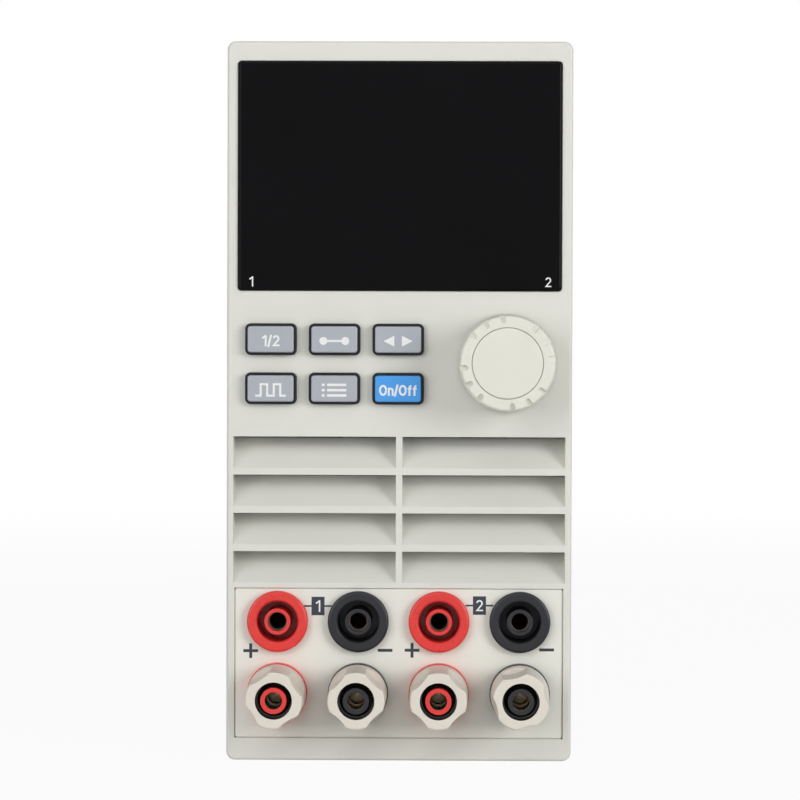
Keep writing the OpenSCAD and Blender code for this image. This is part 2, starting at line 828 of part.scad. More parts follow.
module sense_socket_nuts() color(nickel) for (x = terminal_x) difference() {
    hex_bar(x, sense_z, sense_hex_flats, plate_far, plate_far + hex_t);
    rod(x, sense_z, sense_barrel_r + fit, plate_far - cut, plate_far + hex_t + cut);
}

// Coloured base of a binding post with its spigot through the plate
module post_base(x) turned(x, post_z) difference() {
    union() {
        soft_disc(base_d / 2, base_front, plate_set, base_edge);
        step(0, spigot_r, plate_set, plate_far);
    }
    step(0, stud_r + running_fit, base_front - cut, plate_far + cut);
}

module post_bases_positive() color(red_plastic) for (x = positive_x) post_base(x);
module post_bases_negative() color(black_plastic) for (x = negative_x) post_base(x);

module post_studs() color(nickel) for (x = terminal_x) turned(x, post_z) difference() {
    union() {
        step(0, nose_r, nose_front, thread_front);
        step(0, stud_r, thread_front, stud_shoulder);
        step(0, tail_r, stud_shoulder, tail_far);
    }
    step(0, plug_r, nose_front - cut, nose_front + plug_depth);
    polygon([[0, nose_front + plug_depth], [plug_r, nose_front + plug_depth],
             [0, nose_front + plug_depth + drill_point]]);
}

// Coloured sleeve round the nose of a post
module post_tip(x) turned(x, post_z) {
    step(tip_bore_r, tip_r, tip_front, nose_front);
    step(nose_r + fit, tip_r, nose_front, thread_front);
}

module post_tips_positive() color(red_plastic) for (x = positive_x) post_tip(x);
module post_tips_negative() color(black_plastic) for (x = negative_x) post_tip(x);

module post_nuts_rear() color(nickel) for (x = terminal_x) {
    difference() {
        hex_bar(x, post_z, post_hex_flats, plate_far, plate_far + post_hex_t);
        rod(x, post_z, stud_r + fit, plate_far - cut, plate_far + post_hex_t + cut);
    }
    difference() {
        hex_bar(x, post_z, tail_hex_flats, stud_shoulder + bar_t, stud_shoulder + bar_t + post_hex_t);
        rod(x, post_z, tail_r + fit, stud_shoulder, stud_shoulder + bar_t + post_hex_t + cut);
    }
}

// Nut with four flutes that run out into a round collar
module fluted_nut(i) color(nut_ivory)
    translate([terminal_x[i], face_y, post_z]) rotate([-90, 0, 0]) rotate([0, 0, -nut_rest[i]]) difference() {
        rotate_extrude() difference() {
            union() {
                polygon([[0, nut_front], [nut_front_r - nut_edge, nut_front],
                         [nut_front_r, nut_front + nut_edge], [nut_r, nut_back], [0, nut_back]]);
                translate([nut_front_r - nut_edge, nut_front + nut_edge]) circle(nut_edge);
            }
            step(0, nut_mouth_r, nut_front - cut, nut_front + nut_lip);
            step(0, insert_r, nut_front + nut_lip, insert_back);
            step(0, washer_pocket_r, insert_back, nut_back + cut);
        }
        for (k = [0:3])
            rotate([0, 0, 45 + 90 * k]) translate([nut_front_r - flute_deep + flute_r, 0, nut_front - cut]) {
                straight = nut_len - flute_collar - flute_runout + cut;
                cylinder(r = flute_r, h = straight);
                translate([0, 0, straight])
                    cylinder(r1 = flute_r, r2 = flute_r - flute_rise * flute_deep, h = flute_runout);
            }
    }

module fluted_nut_left_positive() fluted_nut(0);
module fluted_nut_left_negative() fluted_nut(1);
module fluted_nut_right_positive() fluted_nut(2);
module fluted_nut_right_negative() fluted_nut(3);

// Dark metal insert of a fluted nut: a sleeve behind the mouth and the threaded part
module nut_insert(i) color(dark_metal) turned(terminal_x[i], post_z) {
    step(nut_mouth_r, insert_r - fit, nut_front + nut_lip, insert_front);
    step(stud_r + running_fit, insert_r - fit, insert_front, insert_back);
}

module nut_insert_left_positive() nut_insert(0);
module nut_insert_left_negative() nut_insert(1);
module nut_insert_right_positive() nut_insert(2);
module nut_insert_right_negative() nut_insert(3);

// Washer that presses the wire against the base without turning with the nut
module clamp_washer(i) color(nickel) turned(terminal_x[i], post_z)
    step(stud_r + running_fit, washer_r, base_front - washer_t, base_front);

module clamp_washer_left_positive() clamp_washer(0);
module clamp_washer_left_negative() clamp_washer(1);
module clamp_washer_right_positive() clamp_washer(2);
module clamp_washer_right_negative() clamp_washer(3);

module front_subpanel() color(zinc) difference() {
    union() {
        slab(body_near, panel_far) translate([0, (floor_z + ceiling_z) / 2])
            round_rect(chassis_in_w - 2 * slip, ceiling_z - floor_z - 2 * slip, bend_r);
        for (side = [-1, 1], z = ear_z)
            slab(body_near, panel_far + ear_deep) translate([side * (chassis_in_w / 2 - slip - sheet / 2), z])
                square([sheet, ear_h], center = true);
    }
    for (side = [-1, 1]) {
        rod(side * fan_x, louvre_mid_z, fan_bore_r, body_near - cut, panel_far + cut);
        for (dx = [-1, 1], dz = [-1, 1])
            rod(side * fan_x + dx * fan_bolt, louvre_mid_z + dz * fan_bolt, fan_bolt_r + fit,
                body_near - cut, panel_far + cut);
    }
    for (p = concat(boss_at, plate_boss_at))
        rod(p[0], p[1], small_screw_r + fit, body_near - cut, panel_far + cut);
    for (x = terminal_x) {
        slab(body_near - cut, panel_far + cut) translate([x, (post_z + bar_z1) / 2])
            square([bar_w + 2 * bar_slot_gap, bar_z1 - post_z + 2 * bar_slot_over], center = true);
        rod(x, sense_z, contact_r + sense_hole_gap, body_near - cut, panel_far + cut);
    }
    slab(body_near - cut, panel_far + cut) translate([0, ribbon_z])
        square([ribbon_w + 2 * ribbon_slot_gap, ribbon_t + 2 * ribbon_slot_gap], center = true);
    all_flat_screws(fit);
}

module bezel_screws() color(zinc) for (p = concat(boss_at, plate_boss_at)) {
    rod(p[0], p[1], small_screw_r, bezel_depth - small_screw_len, panel_far);
    rod(p[0], p[1], small_head_r, panel_far, panel_far + small_head_t);
}

// Cross-section of the tray: floor, sides and folded top edges, bent from one sheet
module tray_section() translate([0, (tray_z0 + cover_z0) / 2]) difference() {
    round_rect(chassis_w, cover_z0 - tray_z0, bend_r);
    round_rect(chassis_in_w, cover_z0 - tray_z0 - 2 * sheet, bend_r - sheet);
    translate([0, (cover_z0 - tray_z0) / 2]) square([chassis_in_w - 2 * fold_w, 4 * sheet], center = true);
}

// Rear edge of the tray's right-hand side, folded inwards, as seen from above
module rear_fold() {
    bend_x = chassis_w / 2 - bend_r;
    bend_far = body_far - bend_r;
    translate([bend_x, bend_far]) intersection() {
        difference() {
            circle(bend_r);
            circle(bend_r - sheet);
        }
        square(bend_r);
    }
    translate([chassis_in_w / 2, bend_far - fold_root]) square([sheet, fold_root]);
    translate([chassis_in_w / 2 - fold_w, body_far - sheet])
        square([bend_x - chassis_in_w / 2 + fold_w, sheet]);
}

module chassis_tray() color(zinc) difference() {
    union() {
        slab(body_near, body_far - bend_r) tray_section();
        slab(body_far - bend_r - fold_root, body_far) intersection() {
            tray_section();
            square([chassis_w - 2 * bend_r, 2 * bezel_h], center = true);
        }
        for (side = [0, 1]) mirror([side, 0, 0]) translate([0, face_y, 0]) {
            translate([0, 0, floor_z + fold_relief])
                linear_extrude(ceiling_z - floor_z - 2 * fold_relief) rear_fold();
            translate([chassis_in_w / 2 - shelf_w, control_near, shelf_z - sheet])
                cube([shelf_w + sheet / 2, control_far - control_near - sheet, sheet]);
        }
    }
    all_flat_screws(fit);
    // Side vents beside the control board
    for (i = [0 : slots - 1])
        translate([0, face_y + body_far - slot_inset - i * slot_step, shelf_z + slot_rise]) {
            cube([chassis_w + 2 * cut, slot_w, slot_h - slot_w], center = true);
            for (end = [-1, 1]) translate([0, 0, end * (slot_h - slot_w) / 2]) rotate([0, 90, 0])
                cylinder(r = slot_w / 2, h = chassis_w + 2 * cut, center = true);
        }
    // Openings of the folded rear edges for the guide pins and the fixing collars
    for (side = [-1, 1]) {
        rod(side * pin_x, connector_z, pin_collar_r + fold_hole_gap, body_far - sheet - cut, body_far + cut);
        for (z = fix_z)
            rod(side * fix_x, z, fix_collar_r + fold_hole_gap, body_far - sheet - cut, body_far + cut);
    }
}

module top_cover() color(zinc) difference() {
    translate([-chassis_w / 2, face_y + body_near, cover_z0]) cube([chassis_w, chassis_len, sheet]);
    all_flat_screws(fit);
}

module rear_panel() color(zinc) difference() {
    union() {
        slab(body_far, rear_far) translate([0, (tray_z0 + cover_z1) / 2])
            round_rect(chassis_w, cover_z1 - tray_z0, panel_r);
        for (side = [-1, 1], z = fix_z) rod(side * fix_x, z, fix_collar_r, body_far - fix_collar_t, rear_far);
    }
    for (side = [-1, 1]) {
        for (z = fix_z) rod(side * fix_x, z, fix_core_r, body_far - fix_collar_t - cut, rear_far + cut);
        rod(side * pin_x, connector_z, pin_shank_r + fit, body_far - cut, rear_far + cut);
        for (i = [0 : vent_cols - 1], j = [0 : vent_rows - 1])
            rod(side * fan_x + (i - (vent_cols - 1) / 2 + (j % 2) / 2 - 0.25) * vent_step,
                louvre_mid_z + (j - (vent_rows - 1) / 2) * vent_step * sin(60), vent_d / 2,
                body_far - cut, rear_far + cut);
    }
    translate([0, 0, connector_z]) slab(body_far - cut, rear_far + cut)
        square([connector_w + 2 * loose_fit, connector_h + 2 * loose_fit], center = true);
    all_flat_screws(fit);
}

module chassis_screws() color(nickel) all_flat_screws(0);

// Glide runners with a lead-in at both ends
module slide_runners() color(nylon) for (side = [-1, 1])
    translate([side * (chassis_w / 2 - runner_w) - runner_w / 2, face_y, 0])
        rotate([90, 0, 90]) linear_extrude(runner_w)
            polygon([[body_near + runner_w, runner_t], [body_near + runner_w + 2 * runner_t, 0],
                     [body_far - runner_w - 2 * runner_t, 0], [body_far - runner_w, runner_t]]);

// Plug-in connector: a housing with two bevelled lower corners and a keyed tongue with a lead-in
module backplane_connector() color([0.75, 0.72, 0.62]) translate([0, 0, connector_z]) difference() {
    half_w = connector_w / 2;
    half_h = connector_h / 2;
    half_t = tongue_t / 2;
    tongue_far = rear_far + connector_out;
    union() {
        slab(connector_near, rear_far + connector_lip)
            polygon([[-half_w, half_h], [-half_w, connector_bevel - half_h],
                     [connector_bevel - half_w, -half_h], [half_w - connector_bevel, -half_h],
                     [half_w, connector_bevel - half_h], [half_w, half_h]]);
        translate([-tongue_w / 2, face_y, 0]) rotate([90, 0, 90]) linear_extrude(tongue_w)
            polygon([[body_far, half_t], [body_far, -half_t], [tongue_far - tongue_lead, -half_t],
                     [tongue_far, tongue_lead - half_t], [tongue_far, half_t - tongue_lead],
                     [tongue_far - tongue_lead, half_t]]);
    }
    slab(rear_far + connector_lip, tongue_far + cut) translate([tongue_key_x, 0])
        square([tongue_key_w, tongue_t + cut], center = true);
}

module guide_pins() color(nickel) for (side = [-1, 1]) turned(side * pin_x, connector_z) {
    step(0, pin_collar_r, body_far - pin_collar_t, body_far);
    step(0, pin_shank_r, body_far, rear_far);
    step(0, pin_d / 2, rear_far, rear_far + pin_len - pin_d);
    polygon([[0, rear_far + pin_len - pin_d], [pin_d / 2, rear_far + pin_len - pin_d],
             [pin_d / 4, rear_far + pin_len], [0, rear_far + pin_len]]);
}

// Square fan frame with a hub on struts at its rear
module fan_frame(side) color(black_plastic) translate([side * fan_x, 0, louvre_mid_z]) {
    difference() {
        slab(fan_near, fan_far) round_rect(fan_size, fan_size, fan_r);
        rod(0, 0, fan_bore_r, fan_near - cut, fan_far + cut);
        for (dx = [-1, 1], dz = [-1, 1])
            rod(dx * fan_bolt, dz * fan_bolt, fan_bolt_r + fit, fan_near - cut, fan_far + cut);
    }
    difference() {
        union() {
            rod(0, 0, fan_hub_r, fan_far - fan_strut_t, fan_far);
            for (a = [45, 135]) slab(fan_far - fan_strut_t, fan_far) rotate(a)
                square([2 * (fan_bore_r + fan_strut_root), fan_strut_w], center = true);
        }
        rod(0, 0, fan_shaft_r + running_fit, fan_far - fan_strut_t - cut, fan_far + cut);
    }
}

module fan_frame_left() fan_frame(-1);
module fan_frame_right() fan_frame(1);

// Fan hub with pitched blades and its shaft
module fan_rotor(side) color([0.16, 0.16, 0.17])
    translate([side * fan_x, face_y, louvre_mid_z]) rotate([-90, 0, 0]) {
        rotor_near = fan_near + rotor_front_gap;
        rotor_far = fan_far - fan_strut_t - rotor_rear_gap;
        translate([0, 0, rotor_near]) cylinder(r = fan_hub_r, h = rotor_far - rotor_near);
        translate([0, 0, rotor_near]) cylinder(r = fan_shaft_r, h = fan_far - rotor_near);
        intersection() {
            translate([0, 0, rotor_near]) cylinder(r = fan_bore_r - blade_gap, h = rotor_far - rotor_near);
            for (k = [0 : blades - 1]) rotate([0, 0, k * 360 / blades])
                translate([(fan_hub_r + fan_bore_r) / 2, 0, (rotor_near + rotor_far) / 2])
                    rotate([blade_pitch, 0, 0])
                        cube([fan_bore_r - fan_hub_r + 2 * blade_root, blade_t, blade_chord], center = true);
        }
    }

module fan_rotor_left() fan_rotor(-1);
module fan_rotor_right() fan_rotor(1);

module fan_screws() color(zinc) for (side = [-1, 1], dx = [-1, 1], dz = [-1, 1])
    translate([side * fan_x + dx * fan_bolt, 0, louvre_mid_z + dz * fan_bolt]) {
        rod(0, 0, fan_bolt_r, body_near, fan_far);
        rod(0, 0, fan_head_r, body_near - small_head_t, body_near);
    }

// Finned heat sink with its base at the bottom
module heat_sink(side) color(aluminium) difference() {
    slab(sink_near, sink_far) translate([side * (fan_split + sink_w) / 2, sink_z0]) {
        translate([0, sink_base_t / 2]) square([sink_w, sink_base_t], center = true);
        for (i = [0 : sink_fins - 1])
            translate([(i / (sink_fins - 1) - 0.5) * (sink_w - sink_fin_t), sink_h / 2])
                square([sink_fin_t, sink_h], center = true);
    }
    all_flat_screws(fit);
}

module heat_sink_left() heat_sink(-1);
module heat_sink_right() heat_sink(1);

module power_transistors() color(black_plastic) for (x = channel_x, i = [0 : transistors_per_sink - 1])
    translate([x, face_y + sink_near + (i + 0.5) * transistor_pitch, sink_z0]) {
        translate([0, 0, -transistor_t / 2])
            cube([transistor_w, transistor_len, transistor_t], center = true);
        for (k = [-1 : 1]) translate([k * lead_pitch - lead_w / 2, -transistor_len / 2 - lead_out, 0]) {
            lead_z = power_board_z0 + board_t - sink_z0;
            translate([0, 0, lead_z]) cube([lead_w, lead_w, -transistor_t / 2 - lead_z]);
            translate([0, 0, -transistor_t / 2 - lead_w]) cube([lead_w, lead_out + lead_w, lead_w]);
        }
    }

module power_boards() color(board_green) for (x = channel_x)
    translate([x - power_board_w / 2, face_y + power_board_near, power_board_z0])
        cube([power_board_w, power_board_far - power_board_near, board_t]);

module bus_bars() color(copper) for (x = terminal_x) difference() {
    translate([x - bar_w / 2, face_y + stud_shoulder, 0]) {
        translate([0, 0, post_z - bar_w / 2]) cube([bar_w, bar_t, bar_z1 - post_z + bar_w / 2]);
        translate([0, 0, bar_z1 - bar_t]) cube([bar_w, bar_far - stud_shoulder, bar_t]);
    }
    rod(x, post_z, tail_r + fit, stud_shoulder - cut, stud_shoulder + bar_t + cut);
}

// Control board with its capacitors, transformer, processor and relay
module control_board() color(board_green) translate([0, face_y, control_z1]) {
    translate([-chassis_in_w / 2 + slip, control_near, -board_t])
        cube([chassis_in_w - 2 * slip, control_far - control_near - sheet, board_t]);
    for (i = [0 : capacitors - 1])
        translate([capacitor_x, control_near + capacitor_first + i * capacitor_pitch, -board_t / 2])
            cylinder(r = capacitor_r, h = capacitor_h + board_t / 2);
    sizes = [transformer_size, processor_size, relay_size];
    for (i = [0 : len(sizes) - 1])
        translate([part_x - sizes[i][0] / 2, control_near + (i + 1) * part_pitch, -board_t / 2])
            cube(sizes[i] + [0, 0, board_t / 2]);
}

// Flat cable from the front board to the control board, with a plug at each end
module ribbon_cable() color([0.6, 0.61, 0.63]) translate([0, 0, ribbon_z]) {
    slab(board_far, board_far + plug_block) square([ribbon_w, plug_block], center = true);
    slab(board_far, control_near + plug_block) square([ribbon_w, ribbon_t], center = true);
    slab(control_near, control_near + plug_block) translate([0, (ribbon_t / 2 + control_z1 - ribbon_z) / 2])
        square([ribbon_w, ribbon_t / 2 + ribbon_z - control_z1], center = true);
}

front_bezel();
display_window();
display_panel();
key_surround();
key_dome_sheet();
key_channel_select();
key_short();
key_cursor();
key_transient();
key_mode();
key_on_off();
knob_body();
knob_cap();
encoder_shaft();
encoder_body();
front_board();
terminal_plate();
sense_sockets_positive();
sense_sockets_negative();
sense_contacts();
sense_socket_nuts();
post_bases_positive();
post_bases_negative();
post_studs();
post_tips_positive();
post_tips_negative();
post_nuts_rear();
fluted_nut_left_positive();
fluted_nut_left_negative();
fluted_nut_right_positive();
fluted_nut_right_negative();
nut_insert_left_positive();
nut_insert_left_negative();
nut_insert_right_positive();
nut_insert_right_negative();
clamp_washer_left_positive();
clamp_washer_left_negative();
clamp_washer_right_positive();
clamp_washer_right_negative();
front_subpanel();
bezel_screws();
chassis_tray();
top_cover();
rear_panel();
chassis_screws();
slide_runners();
backplane_connector();
guide_pins();
fan_frame_left();
fan_frame_right();
fan_rotor_left();
fan_rotor_right();
fan_screws();
heat_sink_left();
heat_sink_right();
power_transistors();
power_boards();
bus_bars();
control_board();
ribbon_cable();
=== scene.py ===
"""Dresses a two-channel dc electronic load: finishes, signs, threads, screws, studio and camera."""

import json
import math

import bmesh
import bpy
from mathutils import Matrix, Quaternion, Vector


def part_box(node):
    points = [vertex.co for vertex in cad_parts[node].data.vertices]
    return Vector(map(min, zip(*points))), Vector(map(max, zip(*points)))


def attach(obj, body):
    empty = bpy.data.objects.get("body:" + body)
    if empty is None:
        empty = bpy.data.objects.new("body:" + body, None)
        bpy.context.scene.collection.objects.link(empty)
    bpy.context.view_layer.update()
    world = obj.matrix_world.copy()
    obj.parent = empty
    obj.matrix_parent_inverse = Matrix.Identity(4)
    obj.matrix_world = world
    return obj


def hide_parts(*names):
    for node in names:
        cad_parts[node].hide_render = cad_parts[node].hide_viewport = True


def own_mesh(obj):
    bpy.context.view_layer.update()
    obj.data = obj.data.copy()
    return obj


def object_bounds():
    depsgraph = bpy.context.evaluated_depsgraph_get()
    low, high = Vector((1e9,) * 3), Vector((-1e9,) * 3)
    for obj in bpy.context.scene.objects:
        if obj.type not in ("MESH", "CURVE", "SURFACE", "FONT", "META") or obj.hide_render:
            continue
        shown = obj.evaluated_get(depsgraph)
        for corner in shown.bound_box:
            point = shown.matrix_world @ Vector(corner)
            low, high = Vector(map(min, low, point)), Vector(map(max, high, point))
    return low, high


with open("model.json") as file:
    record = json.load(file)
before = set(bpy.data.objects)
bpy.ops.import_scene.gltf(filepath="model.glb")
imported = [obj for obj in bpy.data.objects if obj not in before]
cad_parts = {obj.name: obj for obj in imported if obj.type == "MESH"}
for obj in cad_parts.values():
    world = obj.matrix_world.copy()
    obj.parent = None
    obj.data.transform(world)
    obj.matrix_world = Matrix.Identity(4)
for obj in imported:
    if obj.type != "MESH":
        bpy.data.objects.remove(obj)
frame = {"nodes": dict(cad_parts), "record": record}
cad_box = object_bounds()
nodes = frame["nodes"]

MM = 0.001
ROOT = "load_module"
SLOT_OF = {part["node"]: part["material_slot"] for part in frame["record"]["subparts"]}
TERMINALS = ("left_positive", "left_negative", "right_positive", "right_negative")

# The bezel's face is the plane that the lamps and the camera are placed from
FACE_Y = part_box("front_bezel")[0].y

# Printed signs lie this thick on the surface below them
INK = 0.03 * MM


def centre(node):
    """Middle of a node's box."""
    low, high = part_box(node)
    return (low + high) / 2


def linear(red, green, blue):
    """Colour written as 0 to 255 on screen, as the shader takes it."""
    def channel(value):
        share = value / 255
        if share <= 0.04045:
            return share / 12.92
        return ((share + 0.055) / 1.055) ** 2.4
    return (channel(red), channel(green), channel(blue), 1.0)


def shade(colour, factor):
    """A lighter or darker step of a colour."""
    return tuple(min(1.0, value * factor) for value in colour[:3]) + (1.0,)


# Finishes

BEVEL_SAMPLES = 4

# Most of a noise texture's values lie between these two
NOISE_LOW = 0.3
NOISE_HIGH = 0.7

# An edge counts as full where the rounded normal turns this far from the flat one, as a cosine
EDGE_COSINE = 0.75

# Sockets of a colour mix, which shares its socket names with other kinds of mix
MIX_BELOW = 6
MIX_ABOVE = 7
MIX_RESULT = 2


class Finish:
    """A node material whose detail is laid out in the object's own coordinates."""

    def __init__(self, name, metallic=0.0, specular=0.5, coat=0.0):
        self.material = bpy.data.materials.new(name)
        self.material.use_nodes = True
        self.tree = self.material.node_tree
        self.shader = self.tree.nodes["Principled BSDF"]
        self.shader.inputs["Metallic"].default_value = metallic
        self.shader.inputs["Specular IOR Level"].default_value = specular
        self.shader.inputs["Coat Weight"].default_value = coat
        self.coords = self.node("ShaderNodeTexCoord").outputs["Object"]
        self.normal = None

    def node(self, kind):
        """A new shader node of this kind."""
        return self.tree.nodes.new(kind)

    def link(self, source, target):
        """Joins an output to an input."""
        self.tree.links.new(source, target)

    def noise(self, size, detail=2.0, stretch=(1.0, 1.0, 1.0)):
        """Noise with features of about this size, in metres, longer along an axis with a small stretch."""
        mapping = self.node("ShaderNodeMapping")
        mapping.inputs["Scale"].default_value = stretch
        self.link(self.coords, mapping.inputs["Vector"])
        noise = self.node("ShaderNodeTexNoise")
        noise.inputs["Scale"].default_value = 1 / size
        noise.inputs["Detail"].default_value = detail
        self.link(mapping.outputs["Vector"], noise.inputs["Vector"])
        return noise.outputs["Fac"]

    def blend(self, factor, first, second, low=NOISE_LOW, high=NOISE_HIGH):
        """Colour between two others, as the factor runs from low to high."""
        ramp = self.node("ShaderNodeValToRGB")
        ramp.color_ramp.elements[0].position = low
        ramp.color_ramp.elements[1].position = high
        ramp.color_ramp.elements[0].color = first
        ramp.color_ramp.elements[1].color = second
        self.link(factor, ramp.inputs["Fac"])
        return ramp.outputs["Color"]

    def colour(self, source):
        """Takes the surface's colour from an output."""
        self.link(source, self.shader.inputs["Base Color"])

    def rough(self, factor, low, high):
        """Roughness between two values."""
        spread = self.node("ShaderNodeMapRange")
        spread.inputs["From Min"].default_value = NOISE_LOW
        spread.inputs["From Max"].default_value = NOISE_HIGH
        spread.inputs["To Min"].default_value = low
        spread.inputs["To Max"].default_value = high
        self.link(factor, spread.inputs["Value"])
        self.link(spread.outputs["Result"], self.shader.inputs["Roughness"])

    def soften_edges(self, radius):
        """Rounds the shading of sharp edges."""
        bevel = self.node("ShaderNodeBevel")
        bevel.samples = BEVEL_SAMPLES
        bevel.inputs["Radius"].default_value = radius
        self.normal = bevel.outputs["Normal"]
        self.link(self.normal, self.shader.inputs["Normal"])

    def bump(self, height, depth, strength):
        """Relief of this depth, in metres."""
        bump = self.node("ShaderNodeBump")
        bump.inputs["Strength"].default_value = strength
        bump.inputs["Distance"].default_value = depth
        self.link(height, bump.inputs["Height"])
        if self.normal is not None:
            self.link(self.normal, bump.inputs["Normal"])
        self.normal = bump.outputs["Normal"]
        self.link(self.normal, self.shader.inputs["Normal"])

    def edge_mask(self, radius):
        """Near 1 along sharp edges and near 0 on flat ground, where edge wear and a painted highlight
        show.
        """
        bevel = self.node("ShaderNodeBevel")
        bevel.samples = BEVEL_SAMPLES
        bevel.inputs["Radius"].default_value = radius
        geometry = self.node("ShaderNodeNewGeometry")
        dot = self.node("ShaderNodeVectorMath")
        dot.operation = "DOT_PRODUCT"
        self.link(bevel.outputs["Normal"], dot.inputs[0])
        self.link(geometry.outputs["Normal"], dot.inputs[1])
        spread = self.node("ShaderNodeMapRange")
        spread.inputs["From Min"].default_value = 1.0
        spread.inputs["From Max"].default_value = EDGE_COSINE
        self.link(dot.outputs["Value"], spread.inputs["Value"])
        return spread.outputs["Result"]

    def over(self, factor, below, above):
        """Lays one colour over another where the factor is high."""
        mix = self.node("ShaderNodeMix")
        mix.data_type = "RGBA"
        self.link(factor, mix.inputs["Factor"])
        self.link(below, mix.inputs[MIX_BELOW])
        mix.inputs[MIX_ABOVE].default_value = above
        return mix.outputs[MIX_RESULT]


def moulded(name, colour, rough, grain=0.25 * MM, relief=0.5, edge=0.2 * MM, mottle=0.03, specular=0.5):
    """Moulded plastic: slightly mottled colour, lighter edges that are partly wear and partly a painted
    highlight, an eroded grain and softened edges.
    """
    finish = Finish(name, specular=specular)
    clouds = finish.noise(14 * MM, detail=4.0)
    ground = finish.blend(clouds, shade(colour, 1 - mottle), shade(colour, 1 + mottle))
    # Edges are coloured lighter: partly wear, partly a painted highlight.
    worn = finish.over(finish.edge_mask(2 * edge), ground, shade(colour, 1.12))
    finish.colour(worn)
    finish.rough(finish.noise(2.5 * MM, detail=3.0), rough - 0.05, rough + 0.05)
    finish.soften_edges(edge)
    finish.bump(finish.noise(grain, detail=3.0), 0.02 * MM, relief)
    return finish.material


def polished(name, colour, low, high, specular, edge=0.1 * MM):
    """Glossy black acrylic with a breath of handling haze."""
    finish = Finish(name, specular=specular)
    haze = finish.noise(22 * MM, detail=6.0)
    finish.colour(finish.blend(haze, colour, shade(colour, 1.25)))
    finish.rough(haze, low, high)
    finish.soften_edges(edge)
    finish.bump(finish.noise(35 * MM), 0.02 * MM, 0.15)
    return finish.material


def brushed(name, colour, rough, along, edge=0.2 * MM, relief=0.35, dull=0.82):
    """Rolled metal sheet with fine lines along one axis, cloudy zinc bloom and lighter edges that are
    partly wear and partly a painted highlight.
    """
    finish = Finish(name, metallic=1.0)
    stretch = [1.0, 1.0, 1.0]
    stretch["xyz".index(along)] = 0.02
    lines = finish.noise(0.35 * MM, detail=4.0, stretch=stretch)
    bloom = finish.noise(26 * MM, detail=8.0)
    ground = finish.blend(bloom, shade(colour, dull), colour)
    # Edges are coloured lighter: partly wear, partly a painted highlight.
    finish.colour(finish.over(finish.edge_mask(edge), ground, shade(colour, 1.2)))
    finish.rough(finish.noise(9 * MM, detail=6.0), rough - 0.07, rough + 0.09)
    finish.soften_edges(edge)
    finish.bump(lines, 0.01 * MM, relief)
    return finish.material


def turned_metal(name, colour, rough, metallic=1.0):
    """Plated turned metal with fine machining rings and a little tarnish."""
    finish = Finish(name, metallic=metallic)
    tarnish = finish.noise(3 * MM, detail=5.0)
    finish.colour(finish.blend(tarnish, shade(colour, 0.7), colour))
    finish.rough(finish.noise(1.2 * MM, detail=3.0), rough - 0.06, rough + 0.08)
    finish.bump(finish.noise(0.12 * MM, stretch=(0.05, 1.0, 0.05)), 0.01 * MM, 0.3)
    return finish.material


def circuit(name, colour):
    """Solder-masked board with a weave of traces just below the mask."""
    finish = Finish(name)
    weave = finish.node("ShaderNodeTexVoronoi")
    weave.distance = "CHEBYCHEV"
    weave.inputs["Scale"].default_value = 1 / (3.2 * MM)
    finish.link(finish.coords, weave.inputs["Vector"])
    finish.colour(finish.blend(weave.outputs["Distance"], shade(colour, 0.75), shade(colour, 1.5)))
    finish.rough(finish.noise(2 * MM), 0.3, 0.42)
    finish.bump(weave.outputs["Distance"], 0.04 * MM, 0.3)
    return finish.material


def printed(name, colour):
    """Screen-printed ink, a little uneven in cover."""
    finish = Finish(name, specular=0.3)
    cover = finish.noise(0.5 * MM, detail=3.0)
    finish.colour(finish.blend(cover, shade(colour, 0.93), colour))
    finish.rough(finish.noise(0.8 * MM), 0.45, 0.6)
    finish.bump(cover, 0.005 * MM, 0.3)
    return finish.material


